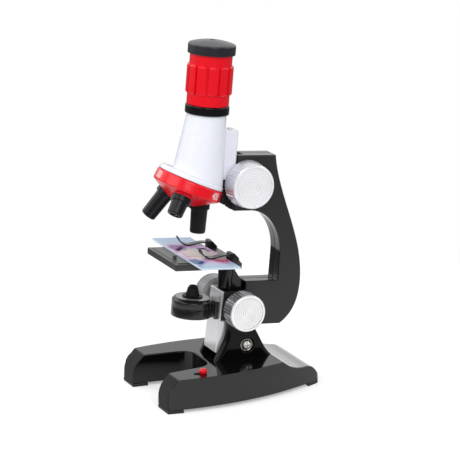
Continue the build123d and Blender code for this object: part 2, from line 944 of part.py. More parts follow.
with BuildPart() as stage_bracket:
    with BuildSketch(level_plane(jaw_front_z)):
        with Locations((0, post_y)):
            Circle(post_r)
    extrude(amount=stage_bottom_z - jaw_front_z)
    with BuildSketch(cross_plane(0, 0)):
        with BuildLine():
            Polyline(
                (post_y, stage_bottom_z),
                (gusset_top_y, stage_bottom_z),
                (jaw_step_y, gusset_step_z),
                (jaw_step_y, jaw_front_z),
                (post_y, jaw_front_z),
                close=True,
            )
        make_face()
    extrude(amount=gusset_half, both=True)
    with BuildSketch(level_plane(stage_bottom_z)):
        with Locations((0, shelf_front_y)):
            Rectangle(2 * shelf_half, gusset_top_y - shelf_front_y, align=(Align.CENTER, Align.MIN))
        with Locations((stage_screw_x, stage_screw_y), (-stage_screw_x, stage_screw_y)):
            Circle(stage_screw_r + screw_fit, mode=Mode.SUBTRACT)
    extrude(amount=-shelf_t)
save_leaned(stage_bracket.part, "stage_bracket")

stage_len = stage_back_y - stage_front_y
with BuildPart() as stage_plate:
    with BuildSketch(level_plane(stage_bottom_z)):
        with Locations((0, stage_front_y)):
            Rectangle(2 * stage_half, stage_len, align=(Align.CENTER, Align.MIN))
    extrude(amount=stage_t)
    fillet(stage_plate.edges().filter_by(Axis.Z), stage_edge_r)
    with BuildSketch(level_plane(stage_top_z)):
        with Locations((0, stage_front_y)):
            Rectangle(2 * stage_half, stage_len, align=(Align.CENTER, Align.MIN))
        with Locations((0, stage_front_y + stage_rim_w)):
            Rectangle(
                2 * (stage_half - stage_rim_w),
                stage_len,
                align=(Align.CENTER, Align.MIN),
                mode=Mode.SUBTRACT,
            )
    extrude(amount=-stage_rim_drop, mode=Mode.SUBTRACT)
    with BuildSketch(level_plane(stage_top_z)):
        with Locations((0, optic_y)):
            Circle(stage_hole_r)
        with Locations((clip_x, clip_y), (-clip_x, clip_y)):
            Circle(clip_pin_r + screw_fit)
        with Locations((stage_screw_x, stage_screw_y), (-stage_screw_x, stage_screw_y)):
            Circle(stage_screw_r + screw_fit)
    extrude(amount=-stage_t, mode=Mode.SUBTRACT)
    with BuildSketch(level_plane(stage_top_z)):
        with Locations((stage_pin_x, stage_pin_y)):
            Circle(stage_pin_r)
    extrude(amount=stage_pin_h)
save_leaned(stage_plate.part, "stage_plate")

with BuildPart() as stage_screws:
    for side in (1, -1):
        add(
            pan_screw(
                down_plane(side * stage_screw_x, stage_screw_y, stage_bottom_z - shelf_t),
                stage_screw_head_r,
                stage_screw_head_h,
                stage_screw_r,
                stage_screw_len,
            )
        )
save_leaned(stage_screws.part, "stage_screws")

clip_floor_z = slide_top_z + clip_lift
clip_head_z = stage_top_z + gap
with BuildPart() as clip_pins:
    for side in (1, -1):
        with BuildSketch(level_plane(stage_bottom_z)):
            with Locations((side * clip_x, clip_y)):
                Circle(clip_pin_r)
        extrude(amount=stage_t + gap + clip_head_h / 2)
        with BuildSketch(level_plane(stage_bottom_z)):
            with Locations((side * clip_x, clip_y)):
                Circle(clip_pin_head_r)
        extrude(amount=-clip_pin_head_h)
save_leaned(clip_pins.part, "clip_pins")

# The spring strip comes out of its head, goes down to the slide and curls up at the tip
with BuildPart() as stage_clip_right:
    with BuildSketch(cross_plane(0, 0, clip_x)):
        with BuildLine():
            Spline(
                (clip_y, clip_floor_z + clip_root_z),
                (clip_crest_y, clip_floor_z + clip_crest_z),
                (clip_low_y, clip_floor_z + clip_t / 2),
                (clip_tip_y, clip_floor_z + clip_tip_z),
                tangents=[(-1, 0), (-1, clip_tip_rise)],
            )
        trace(line_width=clip_t)
    extrude(amount=clip_w / 2, both=True)
    tip_face = stage_clip_right.faces().sort_by(Axis.Y)[0]
    fillet(tip_face.edges().filter_by(Axis.X, reverse=True), clip_tip_r)
    with BuildSketch(level_plane(clip_head_z)):
        with Locations((clip_x, clip_y)):
            RectangleRounded(clip_head_w, clip_head_len, clip_head_len / 4)
    extrude(amount=clip_head_h)
    with BuildSketch(cross_plane(clip_y, clip_head_z, clip_x)):
        with BuildLine():
            Polyline(
                (clip_ridge_len - clip_head_len / 2, clip_head_h),
                (clip_head_len / 2, clip_head_h),
                (clip_head_len / 2, clip_head_back_h),
                close=True,
            )
        make_face()
    extrude(amount=clip_head_w, both=True, mode=Mode.SUBTRACT)
    ridge_y = clip_y + (clip_ridge_len - clip_head_len) / 2
    with BuildSketch(cross_plane(ridge_y, clip_head_z + clip_head_h, clip_x)):
        with GridLocations(clip_ridge_len / clip_head_ribs, 0, clip_head_ribs, 1):
            Circle(clip_rib_depth)
    extrude(amount=clip_head_w, both=True, mode=Mode.SUBTRACT)
    with BuildSketch(level_plane(clip_head_z)):
        with Locations((clip_x, clip_y)):
            Circle(clip_pin_r + run_fit)
    extrude(amount=clip_head_h / 2 + run_fit, mode=Mode.SUBTRACT)
save_leaned(stage_clip_right.part, "stage_clip_right")

# The left clip lies turned a little outwards on its pin
with BuildPart() as stage_clip_left:
    left_pin = Axis((-clip_x, clip_y, 0), (0, 0, 1))
    straight = mirror(stage_clip_right.part, about=Plane.YZ, mode=Mode.PRIVATE)
    add(straight.rotate(left_pin, -clip_left_turn))
save_leaned(stage_clip_left.part, "stage_clip_left")

with BuildPart() as specimen_slide:
    with BuildSketch(level_plane(stage_top_z)):
        with Locations((0, optic_y)):
            Rectangle(slide_len, slide_w)
    extrude(amount=slide_t)
save_leaned(specimen_slide.part, "specimen_slide")

with BuildPart() as cover_glass:
    with BuildSketch(level_plane(slide_top_z)):
        with Locations((0, optic_y)):
            Rectangle(cover_glass_w, cover_glass_w)
    extrude(amount=cover_glass_t)
save_leaned(cover_glass.part, "cover_glass")

# Lamp and mirror


def lamp_neck(bottom, top):
    """The part of the lamp's square neck that lies between two heights."""
    with BuildPart() as neck:
        with BuildSketch(level_plane(bottom)):
            with Locations((0, neck_back_y)):
                Rectangle(2 * neck_half, neck_back_y - optic_y, align=(Align.CENTER, Align.MAX))
            with Locations((0, optic_y)):
                Circle(mirror_r, mode=Mode.SUBTRACT)
        extrude(amount=top - bottom)
    return neck.part


with BuildPart() as lamp_housing:
    with BuildSketch(level_plane(lamp_bottom_z)):
        with Locations((0, optic_y)):
            Circle(lamp_r)
    extrude(amount=lamp_z - lamp_bottom_z)
    fillet(lamp_housing.faces().sort_by(Axis.Z)[0].edges(), lamp_seam)
    chamfer(lamp_housing.faces().sort_by(Axis.Z)[-1].edges(), lamp_seam)
    add(lamp_neck(lamp_bottom_z + neck_margin, lamp_z))
    with BuildSketch(level_plane(lamp_bottom_z)):
        with Locations((0, optic_y)):
            Circle(mirror_r)
    extrude(amount=mirror_pocket, mode=Mode.SUBTRACT)
    with BuildSketch(Plane((0, lamp_pin_front_y, lamp_z), x_dir=(1, 0, 0), z_dir=(0, 1, 0))):
        Circle(lamp_pin_r + screw_fit)
    extrude(amount=lamp_r, mode=Mode.SUBTRACT)
save_leaned(lamp_housing.part, "lamp_housing")

with BuildPart() as lamp_cover:
    with BuildSketch(level_plane(lamp_z)):
        with Locations((0, optic_y)):
            Circle(lamp_r)
    extrude(amount=lamp_top_z - lamp_z)
    chamfer(lamp_cover.faces().sort_by(Axis.Z)[-1].edges(), lamp_chamfer)
    chamfer(lamp_cover.faces().sort_by(Axis.Z)[0].edges(), lamp_seam)
    add(lamp_neck(lamp_z, lamp_z + lamp_pin_r + neck_roof))
    with BuildSketch(level_plane(lamp_top_z)):
        with Locations((0, optic_y)):
            Circle(bezel_r)
    extrude(amount=-bezel_h, mode=Mode.SUBTRACT)
    with BuildSketch(Plane((0, lamp_pin_front_y, lamp_z), x_dir=(1, 0, 0), z_dir=(0, 1, 0))):
        Circle(lamp_pin_r + screw_fit)
    extrude(amount=lamp_r, mode=Mode.SUBTRACT)
    with BuildSketch(level_plane(lamp_top_z)):
        with Locations((0, optic_y)):
            Circle(bulb_r + screw_fit)
    extrude(amount=-bulb_len / 2, mode=Mode.SUBTRACT)
save_leaned(lamp_cover.part, "lamp_cover")

with BuildPart() as lamp_bezel:
    with BuildSketch(level_plane(lamp_top_z)):
        with Locations((0, optic_y)):
            Circle(bezel_r)
            Circle(bulb_r + screw_fit, mode=Mode.SUBTRACT)
    extrude(amount=-bezel_h)
save_leaned(lamp_bezel.part, "lamp_bezel")

with BuildPart() as lamp_hood:
    with BuildSketch(level_plane(lamp_top_z + hood_ring_h)):
        with Locations((0, optic_y)):
            RegularPolygon(hood_foot_r, hood_sides)
    with BuildSketch(level_plane(hood_top_z - hood_shoulder_drop)):
        with Locations((0, optic_y)):
            RegularPolygon(hood_shoulder_r, hood_sides)
    with BuildSketch(level_plane(hood_top_z)):
        with Locations((0, optic_y)):
            RegularPolygon(hood_top_r, hood_sides)
    loft(ruled=True)
    with BuildSketch(level_plane(lamp_top_z)):
        with Locations((0, optic_y)):
            Circle(hood_ring_r)
    extrude(amount=hood_ring_h)
    with BuildSketch(level_plane(lamp_top_z)):
        with Locations((0, optic_y)):
            Circle(hood_bore_r)
    extrude(amount=through, mode=Mode.SUBTRACT)
save_leaned(lamp_hood.part, "lamp_hood")

with BuildPart() as lamp_bulb:
    with BuildSketch(level_plane(lamp_top_z - bulb_len / 2)):
        with Locations((0, optic_y)):
            Circle(bulb_r)
    extrude(amount=bulb_len)
    fillet(lamp_bulb.faces().sort_by(Axis.Z)[-1].edges(), bulb_r / 2)
save_leaned(lamp_bulb.part, "lamp_bulb")

with BuildPart() as mirror_disc:
    with BuildSketch(level_plane(lamp_bottom_z + mirror_pocket)):
        with Locations((0, optic_y)):
            Circle(mirror_r - screw_fit)
    extrude(amount=-mirror_t)
save_leaned(mirror_disc.part, "mirror")

with BuildPart() as lamp_pivot:
    with BuildSketch(Plane((0, lamp_pin_front_y, lamp_z), x_dir=(1, 0, 0), z_dir=(0, 1, 0))):
        Circle(lamp_pin_r)
    extrude(amount=lamp_pin_back_y - lamp_pin_front_y)
save_leaned(lamp_pivot.part, "lamp_pivot")

with BuildPart() as lamp_bracket:
    with BuildSketch(cross_plane(0, 0)):
        with BuildLine():
            Polyline(
                (neck_back_y + gap, bracket_bottom_z),
                (neck_back_y + gap, bracket_top_z),
                (cover_front(bracket_top_z), bracket_top_z),
                (cover_front(bracket_bottom_z), bracket_bottom_z),
                close=True,
            )
        make_face()
    extrude(amount=bracket_half, both=True)
    with BuildSketch(Plane((0, 0, lamp_z), x_dir=(1, 0, 0), z_dir=(0, -1, 0))):
        Circle(lamp_pin_r + run_fit)
    extrude(amount=through, mode=Mode.SUBTRACT)
save_leaned(lamp_bracket.part, "lamp_bracket")

# Focus drive

tooth_half = rack_pitch / 4 - tooth_backlash
flank = radians(pressure_angle)
tip_half = tooth_half - addendum * sin(flank) / cos(flank)
root_half = tooth_half + dedendum * sin(flank) / cos(flank)
with BuildPart() as focus_pinion:
    with BuildSketch(cross_plane(focus_y, focus_z, -pinion_half_w)):
        Circle(pinion_r - dedendum)
        for tooth in range(pinion_teeth):
            turn = 360 * tooth / pinion_teeth
            with Locations(Location((0, 0, 0), (0, 0, turn))):
                Polygon(
                    (0, -tooth_half),
                    (pinion_r, -tooth_half),
                    (pinion_r + addendum, -tip_half),
                    (pinion_r + addendum, tip_half),
                    (pinion_r, tooth_half),
                    (0, tooth_half),
                    align=None,
                )
        Circle(shaft_r, mode=Mode.SUBTRACT)
    extrude(amount=2 * pinion_half_w)
save_leaned(focus_pinion.part, "focus_pinion")

shaft_end = focus_knob_x + focus_knob_len - knob_rim_w - knob_face_drop
with BuildPart() as focus_shaft:
    with BuildSketch(cross_plane(focus_y, focus_z, -shaft_end)):
        Circle(shaft_r)
    extrude(amount=2 * shaft_end)
save_leaned(focus_shaft.part, "focus_shaft")

with BuildPart() as focus_knob_right:
    add(
        knob(
            focus_y,
            focus_z,
            focus_knob_x,
            focus_knob_len,
            focus_knob_r,
            focus_knob_face_r,
            focus_knob_ribs,
            shaft_r,
        )
    )
save_leaned(focus_knob_right.part, "focus_knob_right")

with BuildPart() as focus_knob_left:
    mirror(focus_knob_right.part, about=Plane.YZ)
save_leaned(focus_knob_left.part, "focus_knob_left")

# The rack has a tooth space where the pinion has a tooth, at the height of the focus shaft
rack_len = rack_top_z - rack_bottom_z
with BuildPart() as focus_rack:
    with BuildSketch(level_plane(rack_bottom_z)):
        with Locations((0, carrier_back_y)):
            Rectangle(2 * rack_neck_half, rack_neck_t, align=(Align.CENTER, Align.MIN))
        with Locations((0, rack_neck_y)):
            Rectangle(2 * rack_head_half, rack_root_y - rack_neck_y, align=(Align.CENTER, Align.MIN))
    extrude(amount=rack_len)
    with BuildSketch(level_plane(carrier_bottom_z)):
        with Locations((0, carrier_back_y)):
            Rectangle(
                2 * rack_foot_half,
                carrier_back_y - rack_foot_front_y,
                align=(Align.CENTER, Align.MAX),
            )
    extrude(amount=rack_foot_bottom_z - carrier_bottom_z)
    teeth_up = int((rack_top_z - focus_z) / rack_pitch)
    teeth_down = int((focus_z - rack_bottom_z) / rack_pitch)
    with BuildSketch(cross_plane(rack_pitch_y, focus_z, -pinion_half_w)):
        for tooth in range(-teeth_down, teeth_up):
            with Locations((0, (tooth + 0.5) * rack_pitch)):
                Polygon(
                    (-dedendum, -root_half),
                    (addendum, -tip_half),
                    (addendum, tip_half),
                    (-dedendum, root_half),
                    align=None,
                )
    extrude(amount=2 * pinion_half_w)
save_leaned(focus_rack.part, "focus_rack")

# Body tube: from a round top to a wider round foot that stands on the tilted flange

flange_under = gap
flange_over = gap + flange_t


def tube_form(inset):
    """The solid between the tube's round top and its tilted foot, drawn in by inset."""
    with BuildPart() as form:
        with BuildSketch(Plane((0, optic_y, tube_top_z))):
            Circle(tube_top_r - inset)
        with BuildSketch(nose_plane.offset(flange_over)):
            with Locations((0, tube_foot_back)):
                Circle(tube_foot_r - inset)
        loft(ruled=True)
    return form.part


with BuildPart() as body_tube:
    add(tube_form(0))
    add(tube_form(tube_wall), mode=Mode.SUBTRACT)
    with BuildSketch(Plane((0, optic_y, tube_top_z))):
        Circle(bore_r)
    extrude(amount=draw_bottom_z - tube_top_z, mode=Mode.SUBTRACT)
save_leaned(body_tube.part, "body_tube")

with BuildPart() as tube_flange:
    with BuildSketch(nose_plane.offset(flange_under)):
        Circle(flange_r)
        Circle(pivot_r + screw_fit, mode=Mode.SUBTRACT)
    extrude(amount=flange_t)
    rims = tube_flange.edges().filter_by(GeomType.CIRCLE).sort_by(SortBy.RADIUS)[-2:]
    chamfer(rims.sort_by(nose_axis)[-1], flange_edge)
    with BuildSketch(Plane((0, optic_y, apex_z))):
        Circle(light_r)
    extrude(amount=-through, mode=Mode.SUBTRACT)
save_leaned(tube_flange.part, "tube_flange")

with BuildPart() as tube_ring:
    with BuildSketch(Plane((0, optic_y, tube_top_z))):
        Circle(ring_r)
        Circle(bore_r, mode=Mode.SUBTRACT)
    extrude(amount=ring_h)
    outer = tube_ring.edges().filter_by(GeomType.CIRCLE).sort_by(SortBy.RADIUS)[-2:]
    fillet(outer, ring_edge)
save_leaned(tube_ring.part, "tube_ring")

with BuildPart() as rack_carrier:
    with BuildSketch(level_plane(carrier_bottom_z)):
        with Locations((0, carrier_back_y)):
            Rectangle(2 * carrier_half, carrier_back_y - carrier_front_y, align=(Align.CENTER, Align.MAX))
    extrude(amount=carrier_top_z - carrier_bottom_z)
    back_corners = rack_carrier.edges().filter_by(Axis.Z).group_by(Axis.Y)[-1]
    fillet(back_corners, carrier_edge_r)
    with BuildSketch(Plane((0, optic_y, tube_top_z))):
        Circle(tube_top_r)
    extrude(amount=-through, mode=Mode.SUBTRACT)
    add(tube_form(0), mode=Mode.SUBTRACT)
    with BuildSketch(Plane((0, carrier_screw_y, carrier_top_z))):
        Circle(carrier_screw_r + screw_fit)
    extrude(amount=-carrier_screw_len, mode=Mode.SUBTRACT)
save_leaned(rack_carrier.part, "rack_carrier")

with BuildPart() as carrier_screw:
    add(
        pan_screw(
            Plane((0, carrier_screw_y, carrier_top_z)),
            carrier_screw_head_r,
            carrier_screw_head_h,
            carrier_screw_r,
            carrier_screw_len,
        )
    )
save_leaned(carrier_screw.part, "carrier_screw")

# Nosepiece

objective_turns = (0, 120, 240)


def objective_side(turn):
    """The side view of one objective: radius across and height up its axis, from the apex."""
    across = Vector(0, 1, 0).rotate(nose_axis, turn)
    return Plane(apex, x_dir=across, z_dir=Vector(1, 0, 0).rotate(nose_axis, turn))


def turned_along(side, *outline):
    """A profile in one objective's side view, turned about that objective's axis."""
    with BuildPart() as turned:
        with BuildSketch(side):
            with BuildLine():
                Polyline(*outline, close=True)
            make_face()
        revolve(axis=Axis(side.origin, side.y_dir))
    return turned.part


with BuildPart() as nosepiece:
    with BuildSketch(nose_side):
        with BuildLine():
            Polyline(
                (0, 0),
                (nose_r - nose_edge, 0),
                (nose_r, -nose_edge),
                (nose_r + nose_flare, -nose_rim_h),
                (nose_r + nose_flare - nose_edge, -nose_rim_h - nose_edge),
                (nose_floor_r, -nose_floor_h),
                (0, -nose_floor_h),
                close=True,
            )
        make_face()
    revolve(axis=nose_axis)
    for turn in objective_turns:
        side = objective_side(turn)
        add(
            turned_along(
                side,
                (0, boss_h - objective_seat),
                (boss_r, boss_h - objective_seat),
                (boss_r, -objective_seat),
                (0, -objective_seat),
            )
        )
    for turn in objective_turns:
        side = objective_side(turn)
        light_path = turned_along(
            side,
            (0, 0),
            (thread_r + screw_fit, 0),
            (thread_r + screw_fit, -objective_seat),
            (collar_r + screw_fit, -objective_seat),
            (collar_r + screw_fit, -objective_seat - collar_h),
            (0, -objective_seat - collar_h),
        )
        add(light_path, mode=Mode.SUBTRACT)
    with BuildSketch(nose_plane):
        Circle(pivot_r + run_fit)
    extrude(amount=-through, mode=Mode.SUBTRACT)
save_leaned(nosepiece.part, "nosepiece")

with BuildPart() as nosepiece_screw:
    with BuildSketch(nose_plane.offset(-nose_floor_h - gap)):
        Circle(pivot_head_r)
    extrude(amount=-pivot_head_h)
    with BuildSketch(nose_plane.offset(-nose_floor_h - gap - pivot_head_h)):
        Rectangle(2 * pivot_head_r, pivot_slot_w)
    extrude(amount=pivot_slot_w, mode=Mode.SUBTRACT)
    with BuildSketch(nose_plane.offset(-nose_floor_h - gap)):
        Circle(pivot_r)
    extrude(amount=nose_floor_h + gap + flange_over)
save_leaned(nosepiece_screw.part, "nosepiece_screw")


def objective(side, reach):
    """One objective: thread, collar and tapered barrel, with a light path down its middle."""
    return turned_along(
        side,
        (objective_bore_r, thread_len - objective_seat),
        (thread_r, thread_len - objective_seat),
        (thread_r, -objective_seat),
        (collar_r, -objective_seat),
        (collar_r, -objective_seat - collar_h),
        (objective_top_r, -objective_seat - collar_h),
        (objective_tip_r, objective_tip_edge - reach),
        (objective_tip_r - objective_tip_edge, -reach),
        (objective_bore_r, -reach),
    )


reaches = {"objective_mid": reach_mid, "objective_high": reach_high, "objective_low": reach_low}
for turn, (name, reach) in zip(objective_turns, reaches.items()):
    with BuildPart() as objective_piece:
        add(objective(objective_side(turn), reach))
    save_leaned(objective_piece.part, name)

with BuildPart() as objective_lenses:
    for turn, reach in zip(objective_turns, reaches.values()):
        add(
            turned_along(
                objective_side(turn),
                (0, lens_inset - reach),
                (objective_bore_r, lens_inset - reach),
                (objective_bore_r, lens_inset + lens_t - reach),
                (0, lens_inset + lens_t - reach),
            )
        )
save_leaned(objective_lenses.part, "objective_lenses")

# Eyepiece


def turned_on_optic(*outline):
    """A profile of (radius, height) turned about the optical axis."""
    with BuildPart() as turned:
        with BuildSketch(optic_side):
            with BuildLine():
                Polyline(*outline, close=True)
            make_face()
        revolve(axis=optic_axis)
    return turned.part


with BuildPart() as eyepiece_barrel:
    add(
        turned_on_optic(
            (draw_r, barrel_bottom_z),
            (barrel_low_r, barrel_bottom_z),
            (barrel_low_r, grip_bottom_z),
            (grip_r - grip_edge, grip_bottom_z),
            (grip_r, grip_bottom_z + grip_edge),
            (grip_r, grip_top_z - grip_edge),
            (grip_r - grip_edge, grip_top_z),
            (barrel_high_r, grip_top_z),
            (barrel_high_r, cap_bottom_z),
            (eye_lens_r, cap_bottom_z),
            (eye_lens_r, cap_bottom_z - eye_lens_t),
            (draw_in_r, cap_bottom_z - eye_lens_t),
            (draw_in_r, barrel_bottom_z + draw_seat),
            (draw_r, barrel_bottom_z + draw_seat),
        )
    )
    with BuildSketch(Plane((0, optic_y, grip_bottom_z))):
        with PolarLocations(grip_r, grip_pads):
            Rectangle(2 * (grip_r - barrel_high_r), grip_groove_w)
    extrude(amount=grip_top_z - grip_bottom_z, mode=Mode.SUBTRACT)
save_leaned(eyepiece_barrel.part, "eyepiece_barrel")

with BuildPart() as draw_tube:
    add(
        turned_on_optic(
            (draw_in_r, draw_bottom_z),
            (draw_r, draw_bottom_z),
            (draw_r, barrel_bottom_z + draw_seat),
            (draw_in_r, barrel_bottom_z + draw_seat),
        )
    )
save_leaned(draw_tube.part, "draw_tube")

cap_top_z = cap_bottom_z + cap_h
with BuildPart() as eyepiece_cap:
    with BuildSketch(optic_side):
        with BuildLine():
            crown = ThreePointArc(
                (cap_r - cap_edge, cap_top_z),
                (cap_r / 2, cap_top_z + 3 * cap_dome / 4),
                (pupil_r + pupil_cone, cap_top_z + cap_dome),
            )
            Polyline(
                crown @ 1,
                (pupil_r, cap_top_z + cap_dome - pupil_cone),
                (pupil_r, cap_bottom_z + cap_wall),
                (eye_lens_r, cap_bottom_z + cap_wall),
                (eye_lens_r, cap_bottom_z),
                (cap_r, cap_bottom_z),
                (cap_r, cap_top_z - cap_edge),
                crown @ 0,
            )
        make_face()
    revolve(axis=optic_axis)
save_leaned(eyepiece_cap.part, "eyepiece_cap")

with BuildPart() as eye_lens:
    add(
        turned_on_optic(
            (0, cap_bottom_z - eye_lens_t),
            (eye_lens_r, cap_bottom_z - eye_lens_t),
            (eye_lens_r, cap_bottom_z),
            (0, cap_bottom_z + cap_wall / 2),
        )
    )
save_leaned(eye_lens.part, "eye_lens")

with BuildPart() as field_lens:
    add(
        turned_on_optic(
            (0, draw_bottom_z),
            (draw_in_r, draw_bottom_z + field_lens_t / 2),
            (draw_in_r, draw_bottom_z + field_lens_t),
            (0, draw_bottom_z + field_lens_t),
        )
    )
save_leaned(field_lens.part, "field_lens")
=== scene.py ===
# %% [markdown]
# # A small school microscope
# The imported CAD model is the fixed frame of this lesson: a horseshoe base, a forked pillar, a curved
# arm, a white tube with red turned parts, silver knobs and a small lamp. The CAD pieces already stand
# in their places, so the lesson only has to give them what a CAD model lacks: softened edges,
# finishes and light.

# %% Load the frame
import json
import math

import bmesh
import bpy
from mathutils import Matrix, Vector
from mathutils.bvhtree import BVHTree
from mathutils.kdtree import KDTree


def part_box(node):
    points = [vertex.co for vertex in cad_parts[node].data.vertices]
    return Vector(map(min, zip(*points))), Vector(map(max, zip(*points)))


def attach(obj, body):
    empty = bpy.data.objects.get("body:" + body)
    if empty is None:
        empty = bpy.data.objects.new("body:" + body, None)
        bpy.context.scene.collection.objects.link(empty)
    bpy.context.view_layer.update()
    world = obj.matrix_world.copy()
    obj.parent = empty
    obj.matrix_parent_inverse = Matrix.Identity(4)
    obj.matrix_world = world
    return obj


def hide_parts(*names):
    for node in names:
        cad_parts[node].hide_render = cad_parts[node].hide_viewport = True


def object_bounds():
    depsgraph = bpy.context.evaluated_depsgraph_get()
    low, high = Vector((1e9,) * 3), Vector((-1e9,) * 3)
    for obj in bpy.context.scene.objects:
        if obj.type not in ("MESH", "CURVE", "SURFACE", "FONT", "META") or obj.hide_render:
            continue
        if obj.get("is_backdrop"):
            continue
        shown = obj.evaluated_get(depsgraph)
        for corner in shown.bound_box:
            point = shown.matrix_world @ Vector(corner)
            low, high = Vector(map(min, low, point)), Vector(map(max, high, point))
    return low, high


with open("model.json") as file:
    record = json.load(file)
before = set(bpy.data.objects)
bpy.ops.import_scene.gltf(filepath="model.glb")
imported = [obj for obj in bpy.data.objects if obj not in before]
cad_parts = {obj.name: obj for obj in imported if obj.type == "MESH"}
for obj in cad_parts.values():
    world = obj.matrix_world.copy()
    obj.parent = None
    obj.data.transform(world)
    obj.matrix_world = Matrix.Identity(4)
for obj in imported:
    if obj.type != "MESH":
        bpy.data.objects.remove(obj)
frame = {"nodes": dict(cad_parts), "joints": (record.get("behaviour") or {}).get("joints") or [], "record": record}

MM = 0.001
cad_low, cad_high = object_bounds()
print("bare model, mm:", [round(side / MM, 1) for side in cad_high - cad_low])

# %% [markdown]
# ## Camera
# The photograph was taken with a long lens from the right and a little above. A short lens placed
# near the object would bend the base and the tube apart, so the camera stands far back and the lens
# is long. The place was worked out from the outline of the base, the knobs and the eyepiece.

# %% Camera at the photograph's angle
AZIMUTH = 65.05
ELEVATION = 15.10
AIM = Vector((0, 2.69, 100.79)) * MM
DISTANCE = 1334.4 * MM
LENS_MM = 168.45
SENSOR_MM = 36.0


def way_to(azimuth, elevation):
    """The direction from the object to a place in the studio, in degrees round it and above it."""
    turn, rise = math.radians(azimuth), math.radians(elevation)
    return Vector((
        math.sin(turn) * math.cos(rise),
        -math.cos(turn) * math.cos(rise),
        math.sin(rise),
    ))


def stand(name, data, outward, reach):
    """A camera or a lamp that stands out along a direction and looks at the middle of the object."""
    thing = bpy.data.objects.new(name, data)
    thing.location = AIM + reach * outward
    thing.rotation_mode = "QUATERNION"
    thing.rotation_quaternion = (-outward).to_track_quat("-Z", "Y")
    bpy.context.scene.collection.objects.link(thing)
    return thing


camera_data = bpy.data.cameras.new("portrait_lens")
camera_data.lens = LENS_MM
camera_data.sensor_width = SENSOR_MM
camera = stand("portrait_camera", camera_data, way_to(AZIMUTH, ELEVATION), DISTANCE)
bpy.context.scene.camera = camera
print("camera, mm:", [round(place / MM) for place in camera.location])

# %% [markdown]
# ## White sweep
# The object stands on a white sweep. A lamp strong enough to burn the floor to white would burn the
# white tube too, so the floor and the world are given their white only where the camera, a reflection
# or a pane of glass looks at them. The light that falls on the object stays at a plain level, and the
# floor keeps its soft shadow. In a studio the white sheet hangs behind the object and the rest of the
# room is dim, so polished plastic finds white only on the far side. That is what keeps the sides of
# the black pieces black while their tops shine.


# %% Helpers for node trees
def add_node(tree, kind, **settings):
    """A new node with some of its settings."""
    node = tree.nodes.new(kind)
    for name, value in settings.items():
        setattr(node, name, value)
    return node


def math_node(tree, operation, first, second=0.0):
    """A Math node whose values are sockets or numbers."""
    node = add_node(tree, "ShaderNodeMath", operation=operation)
    for socket, value in zip(node.inputs, (first, second)):
        if isinstance(value, bpy.types.NodeSocket):
            tree.links.new(value, socket)
        else:
            socket.default_value = value
    return node.outputs[0]


def plus(tree, value, mask, amount):
    """A value with an amount added as far as a mask goes."""
    return math_node(tree, "ADD", value, math_node(tree, "MULTIPLY", mask, amount))


def slope(tree, value, low, high):
    """A smooth step from nothing at low to one at high."""
    step = add_node(tree, "ShaderNodeMapRange", interpolation_type="SMOOTHSTEP")
    tree.links.new(value, step.inputs["Value"])
    step.inputs["From Min"].default_value = low
    step.inputs["From Max"].default_value = high
    return step.outputs[0]


def axes_of(tree, coordinate):
    """The X, Y and Z sockets of a texture coordinate, such as Object or Normal."""
    parts = add_node(tree, "ShaderNodeSeparateXYZ")
    tree.links.new(add_node(tree, "ShaderNodeTexCoord").outputs[coordinate], parts.inputs[0])
    return parts.outputs


def seen_directly(tree):
    """One where the camera, a reflection or glass looks at the surface, and nothing elsewhere."""
    path = add_node(tree, "ShaderNodeLightPath").outputs
    either = math_node(tree, "MAXIMUM", path["Is Camera Ray"], path["Is Glossy Ray"])
    return math_node(tree, "MAXIMUM", either, path["Is Transmission Ray"])


# %% World
WHITE = (1.0, 1.0, 1.0, 1.0)
SKY_LIGHT = 0.40
ROOM_DIM = 0.16
SHEET_EDGE = (-0.35, 0.25)  # from the dim side to the white sheet, along the way to the sheet
HORIZON = (-0.15, 0.10)  # from below to above, along Z

world = bpy.data.worlds.new("white_studio")
bpy.context.scene.world = world
world.use_nodes = True
tree = world.node_tree
tree.nodes.clear()
fill = add_node(tree, "ShaderNodeBackground")
fill.inputs["Color"].default_value = WHITE
fill.inputs["Strength"].default_value = SKY_LIGHT
behind = add_node(tree, "ShaderNodeVectorMath", operation="DOT_PRODUCT")
tree.links.new(add_node(tree, "ShaderNodeTexCoord").outputs["Generated"], behind.inputs[0])
behind.inputs[1].default_value = -way_to(AZIMUTH, 0)
sheet = math_node(
    tree, "MULTIPLY",
    slope(tree, behind.outputs["Value"], *SHEET_EDGE),
    slope(tree, axes_of(tree, "Generated")["Z"], *HORIZON),
)
room = plus(tree, ROOM_DIM, sheet, 1.0 - ROOM_DIM)
path = add_node(tree, "ShaderNodeLightPath").outputs
clear = math_node(tree, "MAXIMUM", path["Is Camera Ray"], path["Is Transmission Ray"])
backdrop = add_node(tree, "ShaderNodeBackground")
backdrop.inputs["Color"].default_value = WHITE
tree.links.new(math_node(tree, "MAXIMUM", room, clear), backdrop.inputs["Strength"])
choice = add_node(tree, "ShaderNodeMixShader")
tree.links.new(seen_directly(tree), choice.inputs["Fac"])
tree.links.new(fill.outputs[0], choice.inputs[1])
tree.links.new(backdrop.outputs[0], choice.inputs[2])
tree.links.new(choice.outputs[0], add_node(tree, "ShaderNodeOutputWorld").inputs["Surface"])
print("world: white where it is seen,", SKY_LIGHT, "as light")

# %% Floor
FLOOR_R = 0.32
FLOOR_SIDES = 96


def as_mesh(bm, name):
    """A bmesh written to a new mesh."""
    mesh = bpy.data.meshes.new(name)
    bm.to_mesh(mesh)
    bm.free()
    return mesh


